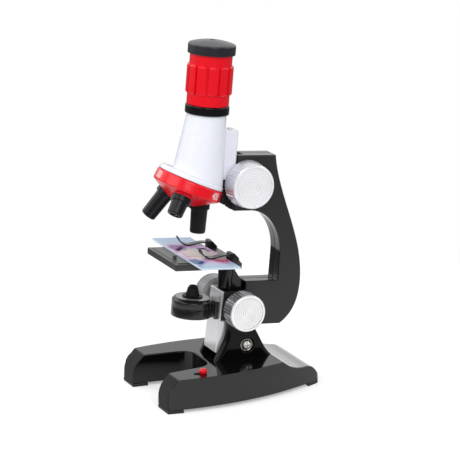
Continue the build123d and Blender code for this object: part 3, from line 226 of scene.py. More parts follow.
bm = bmesh.new()
bmesh.ops.create_circle(bm, cap_ends=True, segments=FLOOR_SIDES, radius=FLOOR_R)
bmesh.ops.translate(bm, verts=bm.verts, vec=(0, 0, cad_low.z))
floor = bpy.data.objects.new("floor", as_mesh(bm, "floor"))
bpy.context.scene.collection.objects.link(floor)
floor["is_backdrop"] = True
print("floor at", round(cad_low.z / MM, 2), "mm")

# %% Paper of the floor
FLOOR_TONE = (0.72, 0.72, 0.72, 1.0)
FLOOR_GLOW = 0.36

paper = bpy.data.materials.new("white_paper_sweep")
paper.use_nodes = True
tree = paper.node_tree
tree.nodes.clear()
matt = add_node(tree, "ShaderNodeBsdfDiffuse")
matt.inputs["Color"].default_value = FLOOR_TONE
glow = add_node(tree, "ShaderNodeEmission")
glow.inputs["Color"].default_value = WHITE
strength = math_node(tree, "MULTIPLY", seen_directly(tree), FLOOR_GLOW)
tree.links.new(strength, glow.inputs["Strength"])
both = add_node(tree, "ShaderNodeAddShader")
tree.links.new(matt.outputs[0], both.inputs[0])
tree.links.new(glow.outputs[0], both.inputs[1])
tree.links.new(both.outputs[0], add_node(tree, "ShaderNodeOutputMaterial").inputs["Surface"])
floor.data.materials.append(paper)
print("floor of", paper.name)

# %% [markdown]
# ## Soft boxes
# Small lamps would draw hard dots on the round knobs and the tube. Square soft boxes of almost a
# metre stand round the object instead: two to the left and right of the camera, one further round on
# each side and one above. Their power is low enough for the white tube to keep its shading.

# %% Five soft boxes
SOFT_BOXES = {  # degrees round, degrees up, metres away, metres wide, watts
    "key_box": (12, 35, 1.2, 0.9, 6.2),
    "front_box": (80, 34, 1.2, 0.8, 6.5),
    "side_box": (150, 28, 1.2, 0.7, 2.4),
    "rim_box": (-50, 30, 1.2, 0.8, 2.4),
    "top_box": (250, 72, 1.1, 0.9, 3.0),
}

for name, (azimuth, elevation, reach, size, watts) in SOFT_BOXES.items():
    data = bpy.data.lights.new(name, "AREA")
    data.shape = "SQUARE"
    data.size = size
    data.energy = watts
    stand(name, data, way_to(azimuth, elevation), reach)
    print("soft box", name, "from", azimuth, "degrees,", watts, "W")
bpy.context.scene.view_settings.view_transform = "Standard"

# %% [markdown]
# ## Shared effects
# Moulded plastic is never one even tone. The steel of the mould leaves a fine grain, the plastic cools
# in faint clouds, and handling leaves hair-thin scratches and a little dust on what faces up. Each of
# these is a node group with its own sliders, because all the finishes below use them with other values.


# %% A new group and its noise
def effect(name, sliders, results):
    """An empty shader group with its input and output node; sliders and results are values."""
    group = bpy.data.node_groups.new(name, "ShaderNodeTree")
    for title, start in sliders.items():
        socket = group.interface.new_socket(title, in_out="INPUT", socket_type="NodeSocketFloat")
        socket.default_value = start
    for title in results:
        group.interface.new_socket(title, in_out="OUTPUT", socket_type="NodeSocketFloat")
    return group, add_node(group, "NodeGroupInput"), add_node(group, "NodeGroupOutput")


def noise(tree, scale, detail, stretch=None):
    """A noise on Object coordinates; scale is a number or a socket, in waves a metre."""
    place = add_node(tree, "ShaderNodeTexCoord").outputs["Object"]
    if stretch:
        mapping = add_node(tree, "ShaderNodeMapping")
        mapping.inputs["Scale"].default_value = stretch
        tree.links.new(place, mapping.inputs["Vector"])
        place = mapping.outputs[0]
    node = add_node(tree, "ShaderNodeTexNoise")
    node.inputs["Detail"].default_value = detail
    tree.links.new(place, node.inputs["Vector"])
    if isinstance(scale, bpy.types.NodeSocket):
        tree.links.new(scale, node.inputs["Scale"])
    else:
        node.inputs["Scale"].default_value = scale
    return node.outputs[0]


def spread(tree, value, amount, middle):
    """middle plus amount times how far value is from its own middle of a half."""
    return plus(tree, middle, math_node(tree, "SUBTRACT", value, 0.5), amount)


# %% Moulded skin
GRAIN_DETAIL = 2.0
GRAIN_SHARE = 0.4
CLOUD_WAVES = 30.0
CLOUD_DETAIL = 3.0

skin, given, gives = effect(
    "moulded_skin",
    {"Grain Waves": 2500.0, "Roughness": 0.4, "Roughness Spread": 0.1, "Tone Spread": 0.2},
    ("Tone", "Roughness", "Height"),
)
given = given.outputs
grain = noise(skin, given["Grain Waves"], GRAIN_DETAIL)
cloud = noise(skin, CLOUD_WAVES, CLOUD_DETAIL)
both = plus(skin, math_node(skin, "MULTIPLY", grain, GRAIN_SHARE), cloud, 1.0 - GRAIN_SHARE)
uneven = spread(skin, both, given["Roughness Spread"], given["Roughness"])
skin.links.new(spread(skin, cloud, given["Tone Spread"], 1.0), gives.inputs["Tone"])
skin.links.new(uneven, gives.inputs["Roughness"])
skin.links.new(grain, gives.inputs["Height"])
print("group", skin.name)

# %% Hairlines
SCRATCH_STRETCHES = ((14.0, 900.0, 900.0), (900.0, 40.0, 700.0), (600.0, 800.0, 25.0))
SCRATCH_EDGE = (0.70, 0.82)

hairlines, given, gives = effect("hairlines", {"Amount": 0.3}, ("Mask",))
lines = 0.0
for stretch in SCRATCH_STRETCHES:
    streak = noise(hairlines, scale=1.0, detail=1.0, stretch=stretch)
    lines = math_node(hairlines, "MAXIMUM", lines, slope(hairlines, streak, *SCRATCH_EDGE))
mask = math_node(hairlines, "MULTIPLY", lines, given.outputs["Amount"])
hairlines.links.new(mask, gives.inputs["Mask"])
print("group", hairlines.name)

# %% Settled dust
FACING_UP = (0.35, 1.0)
SPECK_WAVES = 1400.0
SPECK_DETAIL = 3.0
SPECK_EDGE = (0.50, 0.80)

dust, given, gives = effect("settled_dust", {"Amount": 0.1}, ("Mask",))
upward = slope(dust, axes_of(dust, "Normal")["Z"], *FACING_UP)
specks = slope(dust, noise(dust, SPECK_WAVES, SPECK_DETAIL), *SPECK_EDGE)
settled = math_node(dust, "MULTIPLY", upward, specks)
mask = math_node(dust, "MULTIPLY", settled, given.outputs["Amount"])
dust.links.new(mask, gives.inputs["Mask"])
print("group", dust.name)

# %% [markdown]
# ## Plastic finishes
# All the plastics are built the same way: a colour with faint clouds, a fine grain, a few scratches
# and some dust. So one function makes them, and each plastic is a call with its own numbers. A part of
# a mould can be polished. There the grain is gone and the black is deeper, and a mask says where.


# %% Helpers for finishes
def new_finish(name):
    """A new material with its tree and its Principled shader."""
    material = bpy.data.materials.new(name)
    material.use_nodes = True
    tree = material.node_tree
    return material, tree, tree.nodes["Principled BSDF"]


def set_sockets(node, values):
    """Plain values on a node's own sockets; an underscore stands for a space."""
    for title, value in values.items():
        node.inputs[title.replace("_", " ")].default_value = value


def place_group(tree, group, **values):
    """A group in a material, with its own slider values."""
    node = add_node(tree, "ShaderNodeGroup", node_tree=group)
    set_sockets(node, values)
    return node


def feeding(shader, title):
    """The socket that feeds an input of a shader."""
    return shader.inputs[title].links[0].from_socket


def add_relief(tree, shader, height, depth):
    """A fine relief on a shader; depth in mm."""
    bump = add_node(tree, "ShaderNodeBump")
    bump.inputs["Distance"].default_value = depth * MM
    tree.links.new(height, bump.inputs["Height"])
    tree.links.new(bump.outputs[0], shader.inputs["Normal"])


# %% Helpers that mix colours and values
def tinted(tree, colour, tone):
    """A colour times a tone that changes over the surface."""
    mix = add_node(tree, "ShaderNodeMix", data_type="RGBA", blend_type="MULTIPLY")
    mix.inputs["Factor"].default_value = 1.0
    mix.inputs["A"].default_value = (*colour, 1.0)
    tree.links.new(tone, mix.inputs["B"])
    return mix.outputs["Result"]


def toward(tree, colour, other, share):
    """A colour that goes to another one by a share that changes over the surface."""
    mix = add_node(tree, "ShaderNodeMix", data_type="RGBA")
    tree.links.new(share, mix.inputs["Factor"])
    tree.links.new(colour, mix.inputs["A"])
    mix.inputs["B"].default_value = (*other, 1.0)
    return mix.outputs["Result"]


def between(tree, value, other, share):
    """A value that goes to another one by a share that changes over the surface."""
    mix = add_node(tree, "ShaderNodeMix", data_type="FLOAT")
    tree.links.new(share, mix.inputs["Factor"])
    tree.links.new(value, mix.inputs["A"])
    mix.inputs["B"].default_value = other
    return mix.outputs["Result"]


# %% One plastic finish
DUST_TONE = (0.42, 0.41, 0.39)
DUST_ROUGH = 0.5
SCRATCH_ROUGH = 0.3
SKIN_UNEVEN = 0.4
POLISHED_BLACK = (0.002, 0.002, 0.0023)
POLISHED_ROUGH = 0.10
LEVEL = 0.5  # the middle height of a relief


def finish(
    name, colour, roughness, waves, depth, tone=0.2, scuffs=0.2, dusty=0.1, polish=None, **sockets
):
    """A plastic with skin, hairlines and dust; waves of the grain in a metre, its depth in mm.

    polish makes a mask in the tree, which is one where the mould was polished.
    """
    material, tree, shader = new_finish(name)
    surface = place_group(
        tree, skin, Grain_Waves=waves, Roughness=roughness,
        Roughness_Spread=SKIN_UNEVEN * roughness, Tone_Spread=tone,
    )
    scratch = place_group(tree, hairlines, Amount=scuffs).outputs["Mask"]
    settled = place_group(tree, dust, Amount=dusty).outputs["Mask"]
    colour = tinted(tree, colour, surface.outputs["Tone"])
    rough, height = surface.outputs["Roughness"], surface.outputs["Height"]
    if polish:
        mask = polish(tree)
        colour = toward(tree, colour, POLISHED_BLACK, mask)
        rough = between(tree, rough, POLISHED_ROUGH, mask)
        height = between(tree, height, LEVEL, mask)
    tree.links.new(toward(tree, colour, DUST_TONE, settled), shader.inputs["Base Color"])
    worn = plus(tree, plus(tree, rough, scratch, SCRATCH_ROUGH), settled, DUST_ROUGH)
    tree.links.new(worn, shader.inputs["Roughness"])
    add_relief(tree, shader, height, depth)
    set_sockets(shader, sockets)
    return material


finishes = {}

# %% [markdown]
# ## Black of the base and the arm
# The outer sides of the base and the flat sides of the arm are satin. Their tops and edges are
# polished. The toes are rubbed dull and their colour is darkened as painted shade, and the top of the
# base sweeps down to the back with so high a gloss that it looks white from the side. Each could be a
# material of its own on a few faces, but a bevelled edge would then show a hard line, so masks made
# from the place and the normal fade one look into the other.

# %% Where the base and the arm are polished, rubbed, coated or given painted shade
# Each FACING pair is where a mask starts and where it is full, along one axis of the normal.
TOE_END_Y = -38 * MM
TOE_FACING = (-0.35, -0.6)
SIDE_FACING = (0.45, 0.65)
SWEEP_Y = (24.6 * MM, 26.2 * MM)
SWEEP_FACING = (0.5, 0.8)
ARM_FACING = (0.6, 0.8)


def toes(tree):
    """One on the front faces of the two legs."""
    front = math_node(tree, "LESS_THAN", axes_of(tree, "Object")["Y"], TOE_END_Y)
    return math_node(
        tree, "MULTIPLY", front, slope(tree, axes_of(tree, "Normal")["Y"], *TOE_FACING)
    )


def base_polish(tree):
    """One on the tops and in the notch of the base, nothing on its outer sides and its toes."""
    side_of = math_node(tree, "SIGN", axes_of(tree, "Object")["X"])
    outward = math_node(tree, "MULTIPLY", axes_of(tree, "Normal")["X"], side_of)
    satin = math_node(tree, "MAXIMUM", slope(tree, outward, *SIDE_FACING), toes(tree))
    return math_node(tree, "SUBTRACT", 1.0, satin)


def back_sweep(tree):
    """One on the top of the base where it sweeps down to the back."""
    back = slope(tree, axes_of(tree, "Object")["Y"], *SWEEP_Y)
    return math_node(
        tree, "MULTIPLY", back, slope(tree, axes_of(tree, "Normal")["Z"], *SWEEP_FACING)
    )


def arm_polish(tree):
    """One on the edges of the arm, nothing on its two flat sides."""
    sideways = math_node(tree, "ABSOLUTE", axes_of(tree, "Normal")["X"])
    return math_node(tree, "SUBTRACT", 1.0, slope(tree, sideways, *ARM_FACING))


# %% Base and arm
BASE_BLACK = (0.021, 0.021, 0.0205)
ARM_BLACK = (0.018, 0.018, 0.0176)
# The colour of the toes, darkened as painted shade.
TOE_SHADE_BLACK = (0.008, 0.008, 0.008)
RUBBED_ROUGH = 0.8

finishes["base_black"] = finish(
    "base_black_plastic", BASE_BLACK, roughness=0.42, waves=2600, depth=0.02, dusty=0.05,
    polish=base_polish, Specular_IOR_Level=0.36, Coat_Roughness=0.15, Coat_IOR=1.9,
)
tree = finishes["base_black"].node_tree
shader = tree.nodes["Principled BSDF"]
colour, rough = feeding(shader, "Base Color"), feeding(shader, "Roughness")
# The toes go to that darker black: painted shade.
tree.links.new(toward(tree, colour, TOE_SHADE_BLACK, toes(tree)), shader.inputs["Base Color"])
tree.links.new(between(tree, rough, RUBBED_ROUGH, toes(tree)), shader.inputs["Roughness"])
tree.links.new(back_sweep(tree), shader.inputs["Coat Weight"])
finishes["arm_black"] = finish(
    "arm_black_plastic", ARM_BLACK, roughness=0.42, waves=2600, depth=0.02, dusty=0.05,
    polish=arm_polish, Specular_IOR_Level=0.45,
)
print(sorted(finishes))

# %% [markdown]
# ## Other blacks
# The stage is satin, the pillar, the clips and the stage's bracket are polished, and the objectives
# and the bottom plate are almost matt. The lamp is shiny but wavy, because its thin shell sank while
# it cooled. The hood over its bulb is dull, the eye cap has the soft shine of a handled part, and the
# feet are rubber. All of them are black, so it is the roughness and the strength of the shine that
# tell them apart.

# %% Satin and polished black
STAGE_BLACK = (0.028, 0.0275, 0.028)
DEEP_BLACK = (0.0045, 0.0045, 0.005)
PILLAR_BLACK = (0.003, 0.003, 0.0036)

finishes["black_satin"] = finish(
    "satin_black_plastic", STAGE_BLACK, roughness=0.30, waves=2600, depth=0.016, dusty=0.08,
    Specular_IOR_Level=0.6,
)
finishes["black_gloss"] = finish(
    "polished_black_plastic", DEEP_BLACK, roughness=0.10, waves=900, depth=0.002, dusty=0.03,
    Specular_IOR_Level=0.35,
)
finishes["pillar_black"] = finish(
    "pillar_black_plastic", PILLAR_BLACK, roughness=0.08, waves=900, depth=0.002, dusty=0.02,
    Specular_IOR_Level=0.14,
)
print(sorted(finishes))

# %% Black of the small pieces
MATT_BLACK = (0.010, 0.0095, 0.011)
LAMP_BLACK = (0.006, 0.0058, 0.0068)
HOOD_BLACK = (0.006, 0.006, 0.007)
CAP_BLACK = (0.014, 0.0125, 0.018)
RUBBER_BLACK = (0.018, 0.018, 0.018)

finishes["black_matte"] = finish(
    "matt_black_plastic", MATT_BLACK, roughness=0.26, waves=3200, depth=0.012, scuffs=0.1,
    dusty=0.03, Specular_IOR_Level=0.22,
)
finishes["lamp_black"] = finish(
    "lamp_black_plastic", LAMP_BLACK, roughness=0.16, waves=190, depth=0.05, scuffs=0.3,
    dusty=0.03, Specular_IOR_Level=0.45,
)
finishes["hood_black"] = finish(
    "lamp_hood_black_plastic", HOOD_BLACK, roughness=0.36, waves=2400, depth=0.008, dusty=0.02,
    Specular_IOR_Level=0.1,
)
finishes["cap_black"] = finish(
    "eye_cap_black_plastic", CAP_BLACK, roughness=0.30, waves=3000, depth=0.008, scuffs=0.3,
    dusty=0.06, Specular_IOR_Level=0.7,
)
finishes["rubber_feet"] = finish(
    "black_rubber", RUBBER_BLACK, roughness=0.82, waves=1500, depth=0.05, scuffs=0.0
)
print(sorted(finishes))

# %% [markdown]
# ## White and red
# The tube is a cool white and the turned parts are a deep red. Both are glossy mouldings with long,
# shallow waves in place of a grain. Their clouds are kept faint, because a pale or a bright colour
# shows them sooner than black does.

# %% White and red plastics
COOL_WHITE = (0.82, 0.835, 0.915)
DEEP_RED = (0.80, 0.0015, 0.012)

finishes["white_gloss"] = finish(
    "cool_white_plastic", COOL_WHITE, roughness=0.26, waves=300, depth=0.003, tone=0.02,
    dusty=0.01, Specular_IOR_Level=0.35,
)
finishes["red_gloss"] = finish(
    "deep_red_plastic", DEEP_RED, roughness=0.25, waves=260, depth=0.003, tone=0.08,
    dusty=0.01, Specular_IOR_Level=0.45,
)
print(sorted(finishes))

# %% [markdown]
# ## Silver lacquer and bare steel
# Silver lacquer is a clear coat with fine aluminium flakes in it, so it takes a grain of tiny cells
# that are each a little lighter or darker. It is less of a mirror than metal, so it is metallic only
# in part. The screws, the axle and the shaft are plain bright steel.

# %% Lacquer flakes
FLAKE_CELLS = 5200.0

flakes, given, gives = effect("lacquer_flakes", {"Spread": 0.2}, ("Tone", "Height"))
cells = add_node(flakes, "ShaderNodeTexVoronoi")
cells.inputs["Scale"].default_value = FLAKE_CELLS
flakes.links.new(add_node(flakes, "ShaderNodeTexCoord").outputs["Object"], cells.inputs["Vector"])
parts = add_node(flakes, "ShaderNodeSeparateColor")
flakes.links.new(cells.outputs["Color"], parts.inputs[0])
tone = spread(flakes, parts.outputs["Red"], given.outputs["Spread"], 1.0)
flakes.links.new(tone, gives.inputs["Tone"])
flakes.links.new(parts.outputs["Green"], gives.inputs["Height"])
print("group", flakes.name)

# %% Metals
METAL_WAVES = 1200
METAL_UNEVEN = 0.3
METAL_CLOUDS = 0.05
METAL_SCRATCH = 0.25


def metal(name, colour, roughness, metallic, flake=0.03, depth=0.0002, scuffs=0.0):
    """A metal or a metal lacquer with flakes and hairlines; depth of the flakes in mm."""
    material, tree, shader = new_finish(name)
    shader.inputs["Metallic"].default_value = metallic
    sparkle = place_group(tree, flakes, Spread=flake)
    surface = place_group(
        tree, skin, Grain_Waves=METAL_WAVES, Roughness=roughness,
        Roughness_Spread=METAL_UNEVEN * roughness, Tone_Spread=METAL_CLOUDS,
    )
    scratch = place_group(tree, hairlines, Amount=scuffs).outputs["Mask"]
    tone = math_node(tree, "MULTIPLY", sparkle.outputs["Tone"], surface.outputs["Tone"])
    tree.links.new(tinted(tree, colour, tone), shader.inputs["Base Color"])
    worn = plus(tree, surface.outputs["Roughness"], scratch, METAL_SCRATCH)
    tree.links.new(worn, shader.inputs["Roughness"])
    add_relief(tree, shader, sparkle.outputs["Height"], depth)
    return material


finishes["silver_plastic"] = metal("silver_lacquer", (0.84, 0.84, 0.87), 0.26, metallic=0.35)
finishes["column_silver"] = metal("column_silver_lacquer", (0.68, 0.68, 0.70), 0.2, metallic=0.5)
finishes["dull_silver"] = metal("dull_silver_lacquer", (0.32, 0.32, 0.34), 0.3, metallic=0.5)
finishes["steel"] = metal(
    "bright_steel", (0.66, 0.64, 0.61), 0.18, metallic=1.0, flake=0.06, depth=0.001, scuffs=0.6
)
print(sorted(finishes))

# %% [markdown]
# ## Turned knobs
# The flat face of a knob has fine rings round its middle, and its ribbed side is given a darker
# colour as painted shade, for the shade in the grooves of the ribs. The rings follow the distance from
# the knob's own axis, which runs along X, so the group takes the middle of the knob and the step from
# ring to ring.

# %% Turned rings
ACROSS_X = (0, 1, 1)

rings, given, gives = effect("turned_rings", {"Step": 1.0 * MM}, ("Height",))
rings.interface.new_socket("Middle", in_out="INPUT", socket_type="NodeSocketVector")
from_middle = add_node(rings, "ShaderNodeVectorMath", operation="SUBTRACT")
rings.links.new(add_node(rings, "ShaderNodeTexCoord").outputs["Object"], from_middle.inputs[0])
rings.links.new(given.outputs["Middle"], from_middle.inputs[1])
across = add_node(rings, "ShaderNodeVectorMath", operation="MULTIPLY")
rings.links.new(from_middle.outputs[0], across.inputs[0])
across.inputs[1].default_value = ACROSS_X
radius = add_node(rings, "ShaderNodeVectorMath", operation="LENGTH")
rings.links.new(across.outputs[0], radius.inputs[0])
turns = math_node(rings, "DIVIDE", radius.outputs["Value"], given.outputs["Step"])
wave = math_node(rings, "COSINE", math_node(rings, "MULTIPLY", turns, 2 * math.pi))
rings.links.new(plus(rings, LEVEL, wave, 0.5), gives.inputs["Height"])
print("group", rings.name)

# %% Knob lacquer
KNOB_ROUGH = 0.26
RING_DEPTH = 0.10
SIDE_METAL = 0.65
# Where the painted shade of the side starts and where it is full, along X of the normal.
SHADED_SIDE_FACING = (0.9, 0.5)


def knob_lacquer(name, node, face, edge, metallic, step):
    """Silver lacquer with rings on the face and a darker edge colour on the side as painted shade; step in mm."""
    material = metal(name, face, KNOB_ROUGH, metallic, depth=RING_DEPTH)
    tree = material.node_tree
    shader = tree.nodes["Principled BSDF"]
    facing = math_node(tree, "ABSOLUTE", axes_of(tree, "Normal")["X"])
    side = slope(tree, facing, *SHADED_SIDE_FACING)
    # The ribbed side goes to the edge colour, which is painted shade.
    colour = toward(tree, feeding(shader, "Base Color"), edge, side)
    tree.links.new(colour, shader.inputs["Base Color"])
    tree.links.new(plus(tree, metallic, side, SIDE_METAL - metallic), shader.inputs["Metallic"])
    groove = place_group(tree, rings, Step=step * MM)
    low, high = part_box(node)
    groove.inputs["Middle"].default_value = (low + high) / 2
    bump = feeding(shader, "Normal").node
    tree.links.new(groove.outputs["Height"], bump.inputs["Height"])
    return material


# The edge colours are darker painted shade for the ribbed sides.
finishes["focus_silver"] = knob_lacquer(
    "focus_knob_lacquer", "focus_knob_right", face=(0.94, 0.94, 0.97), edge=(0.74, 0.73, 0.78),
    metallic=0.10, step=1.73,
)
finishes["tilt_silver"] = knob_lacquer(
    "tilt_knob_lacquer", "tilt_knob_right", face=(0.97, 0.97, 0.98), edge=(0.27, 0.27, 0.29),
    metallic=0.04, step=1.44,
)
print(sorted(finishes))

# %% [markdown]
# ## Glass and mirror
# Lenses and the cover glass are clear with a trace of fingerprints, and the mirror under the lamp is
# polished metal behind glass. A dusty finish would make them look like plastic, so only their
# roughness is uneven.

# %% Glass and mirror
SMUDGE_WAVES = 260
SMUDGE_SCRATCH = 0.05
SMUDGE_ROUGH = 0.03


def smudged(name, colour, **sockets):
    """A polished surface whose only marks are faint smudges."""
    material, tree, shader = new_finish(name)
    shader.inputs["Base Color"].default_value = (*colour, 1.0)
    surface = place_group(
        tree, skin, Grain_Waves=SMUDGE_WAVES, Roughness=SMUDGE_ROUGH,
        Roughness_Spread=SMUDGE_ROUGH, Tone_Spread=0.0,
    )
    scratch = place_group(tree, hairlines, Amount=SMUDGE_SCRATCH).outputs["Mask"]
    worn = math_node(tree, "ADD", surface.outputs["Roughness"], scratch)
    tree.links.new(worn, shader.inputs["Roughness"])
    set_sockets(shader, sockets)
    return material


finishes["clear_glass"] = smudged(
    "clear_glass", (0.96, 0.98, 1.0), Transmission_Weight=1.0, IOR=1.5
)
finishes["mirror_glass"] = smudged("mirror_glass", (0.9, 0.9, 0.92), Metallic=1.0)
print(sorted(finishes))

# %% [markdown]
# ## Battery cells
# A cell wears a printed sleeve that is light at one end and dark on the rest. The cells lie along X,
# so a plain step along X parts the two tones.

# %% Battery jackets
JACKET_DARK = (0.05, 0.055, 0.06)
JACKET_LIGHT = (0.55, 0.56, 0.58)
SLEEVE_END = 8 * MM

jacket = finish("battery_jacket", JACKET_LIGHT, roughness=0.3, waves=900, depth=0.002)
tree = jacket.node_tree
shader = tree.nodes["Principled BSDF"]
sleeve = math_node(tree, "LESS_THAN", axes_of(tree, "Object")["X"], SLEEVE_END)
colour = toward(tree, feeding(shader, "Base Color"), JACKET_DARK, sleeve)
tree.links.new(colour, shader.inputs["Base Color"])
finishes["battery_jacket"] = jacket
print(jacket.name)

# %% [markdown]
# ## Printed slide
# The slide is a strip of plastic film printed with a stained section: blue ends, a lilac field, a pale
# middle and a few deep blots. An image would be the usual way. Here each blot is an ellipse with a
# ragged soft edge, laid over the one before, so the print stays sharp at any size. A Mapping node
# brings the place on the leaned slide back to its own middle.

# %% Film and its own place
SLIDE_LEAN = math.radians(-5.05)
END_BLUE = (0.33, 0.48, 0.66)

slide_low, slide_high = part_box("specimen_slide")
print_film = finish(
    "printed_slide", END_BLUE, roughness=0.22, waves=900, depth=0.002, tone=0.06, dusty=0.02,
    Specular_IOR_Level=0.2,
)
tree = print_film.node_tree
shader = tree.nodes["Principled BSDF"]
on_slide = add_node(tree, "ShaderNodeMapping", vector_type="TEXTURE")
on_slide.inputs["Location"].default_value = (slide_low + slide_high) / 2
on_slide.inputs["Rotation"].default_value = (SLIDE_LEAN, 0, 0)
tree.links.new(add_node(tree, "ShaderNodeTexCoord").outputs["Object"], on_slide.inputs["Vector"])
print("slide, mm:", [round(side / MM, 1) for side in slide_high - slide_low])

# %% Print on the film
EDGE_CLEAR = (0.66, 0.76, 0.88)
EDGE_FACING = (0.8, 0.5)
BLOT_WAVES = 260.0
BLOT_DETAIL = 3.0
BLOT_DEEP = 1000
BLOTS = (  # colour, centre and reach in mm on the slide, softness and raggedness of the edge
    ((0.58, 0.37, 0.62), (2, 0), (25, 26), 0.30, 0.3),
    ((0.84, 0.66, 0.60), (4, -3), (12, 8), 0.45, 0.5),
    ((0.44, 0.02, 0.12), (13, 7.5), (14, 6.0), 0.30, 0.9),
    ((0.14, 0.015, 0.18), (-12, -7), (8.0, 5.2), 0.28, 0.9),
    ((0.004, 0.07, 0.25), (22, -10), (6.5, 4.8), 0.20, 0.7),
)


def blot(tree, place, centre, reach, softness, ragged):
    """One inside a blot of the print, and nothing outside it."""
    spot = add_node(tree, "ShaderNodeMapping", vector_type="TEXTURE")
    spot.inputs["Location"].default_value = Vector((*centre, 0)) * MM
    spot.inputs["Scale"].default_value = Vector((*reach, BLOT_DEEP)) * MM
    tree.links.new(place, spot.inputs["Vector"])
    far = add_node(tree, "ShaderNodeVectorMath", operation="LENGTH")
    tree.links.new(spot.outputs[0], far.inputs[0])
    uneven = spread(tree, noise(tree, BLOT_WAVES, BLOT_DETAIL), ragged, 0.0)
    edge = math_node(tree, "ADD", far.outputs["Value"], uneven)
    return slope(tree, edge, 1.0 + softness, 1.0 - softness)


ink = feeding(shader, "Base Color")
for colour, *form in BLOTS:
    ink = toward(tree, ink, colour, blot(tree, on_slide.outputs[0], *form))
side = slope(tree, axes_of(tree, "Normal")["Z"], *EDGE_FACING)
tree.links.new(toward(tree, ink, EDGE_CLEAR, side), shader.inputs["Base Color"])
finishes["slide_plastic"] = print_film
print(print_film.name, "has", len(BLOTS), "blots")

# %% [markdown]
# ## Dressing the CAD nodes
# Every CAD node came in with a plain material named after its slot in the record. The name is kept and
# the material is exchanged for the finish of that slot, or for the node's own finish where the slot is
# too coarse: the pillar and the eye cap, for one, share a slot but not a shine.

# %% Dress every node
OWN_FINISH = {
    "base_shell": "base_black",
    "pillar_right": "pillar_black",
    "pillar_left": "pillar_black",
    "arm_right": "arm_black",
    "arm_left": "arm_black",
    "stage_clip_right": "black_gloss",
    "stage_clip_left": "black_gloss",
    "stage_bracket": "black_gloss",
    "stage_plate": "black_satin",
    "eyepiece_cap": "cap_black",
    "lamp_bezel": "dull_silver",
    "lamp_hood": "hood_black",
    "lamp_housing": "lamp_black",
    "lamp_cover": "lamp_black",
    "column_cover": "column_silver",
    "focus_knob_right": "focus_silver",
    "focus_knob_left": "focus_silver",
    "tilt_knob_right": "tilt_silver",
    "tilt_knob_left": "tilt_silver",
}

slot_of, look_of = {}, {}
for name, node in frame["nodes"].items():
    slot_of[name] = node.material_slots[0].material.name
    look_of[name] = finishes[OWN_FINISH.get(name, slot_of[name])]
    node.material_slots[0].material = look_of[name]
print(len(slot_of), "nodes dressed")

# %% [markdown]
# ## Softened edges
# A moulded edge is never a knife edge, and without a small round it can't catch the light. A Bevel
# modifier on the CAD node would work on its loose triangles, so a copy of the mesh is merged, its flat
# faces are joined and its edges are bevelled. A curved edge is cut into short pieces, where a bevel
# can fold over itself, and Blender's own clamp would then shrink it everywhere. So the bevel is made
# without the clamp, the places where it went wrong are found, the few edges there stay sharp, and the
# bevel is made again.

# %% A merged copy of a CAD node
WELD = 0.0005 * MM
FLAT = math.radians(0.05)
SHARP = math.radians(28)  # a sharper bend than this is bevelled
CREASE = math.radians(46)  # a bend that is still sharper after that is shaded as an edge


def number_edges(bm):
    """Fresh edge numbers after a change."""
    bm.edges.index_update()
    bm.edges.ensure_lookup_table()


def merged(node):
    """A bmesh of a CAD node with its triangles joined to whole faces."""
    bm = bmesh.new()
    bm.from_mesh(frame["nodes"][node].data)
    bmesh.ops.remove_doubles(bm, verts=bm.verts, dist=WELD)
    bmesh.ops.dissolve_limit(bm, angle_limit=FLAT, verts=bm.verts, edges=bm.edges)
    number_edges(bm)
    return bm


def is_sharp(edge):
    """Whether an edge has a sharp bend between two faces."""
    return edge.is_manifold and edge.calc_face_angle() > SHARP


# %% A bevel that checks itself
STRAY = 0.6  # bevel widths that a point may leave the old surface
REACH = 2.5  # bevel widths round a wrong place in which edges stay sharp
TRIES = 8


def bevel(bm, edges, width, steps):
    """Round some edges; width in metres."""
    bmesh.ops.bevel(
        bm, geom=edges, offset=width, offset_type="OFFSET", affect="EDGES", segments=steps,
        profile=0.5, material=-1, clamp_overlap=False,
    )


def surface_of(bm):
    """A triangulated copy and its search tree."""
    copy = bm.copy()
    bmesh.ops.triangulate(copy, faces=copy.faces)
    copy.faces.ensure_lookup_table()
    return copy, BVHTree.FromBMesh(copy)


def wrong_places(bm, before, width):
    """Where a bevelled mesh leaves the surface it came from, or cuts through itself."""
    far = STRAY * width
    places = [vert.co.copy() for vert in bm.verts if before.find_nearest(vert.co)[3] > far]
    copy, tree = surface_of(bm)
    for pair in tree.overlap(tree):
        faces = [copy.faces[index] for index in pair]
        if not set(faces[0].verts) & set(faces[1].verts):
            places.extend(face.calc_center_median() for face in faces)
    copy.free()
    return places


def bevelled(bm, width, steps):
    """The mesh with its sharp edges rounded, apart from those where that goes wrong."""
    sharp = {edge.index for edge in bm.edges if is_sharp(edge)}
    copy, before = surface_of(bm)
    copy.free()
    marks = KDTree(3 * len(sharp))
    for index in sharp:
        start, end = (vert.co for vert in bm.edges[index].verts)
        for place in (start, (start + end) / 2, end):
            marks.insert(place, index)
    marks.balance()
    for _ in range(TRIES):
        trial = bm.copy()
        trial.edges.ensure_lookup_table()
        bevel(trial, [trial.edges[index] for index in sharp], width, steps)
        wrong = wrong_places(trial, before, width)
        if not wrong:
            break
        for place in wrong:
            near = marks.find_range(place, REACH * width) or [marks.find(place)]
            sharp -= {mark[1] for mark in near}
    bm.free()
    return trial, len(sharp)


# %% The rounded copy in its node's place
def show(mesh, name, material, body):
    """A finished mesh as a piece that rides on a body."""
    mesh.materials.clear()
    mesh.materials.append(material)
    piece = bpy.data.objects.new(name, mesh)
    bpy.context.scene.collection.objects.link(piece)
    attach(piece, body)
    return piece


def body_of(node):
    """The body that a CAD node rides on."""
    bodies = frame["record"]["behaviour"]["bodies"]
    return next(body for body, nodes in bodies.items() if node in nodes)


def smooth_faces(bm):
    """Smooth shading on every face."""
    for face in bm.faces:
        face.smooth = True


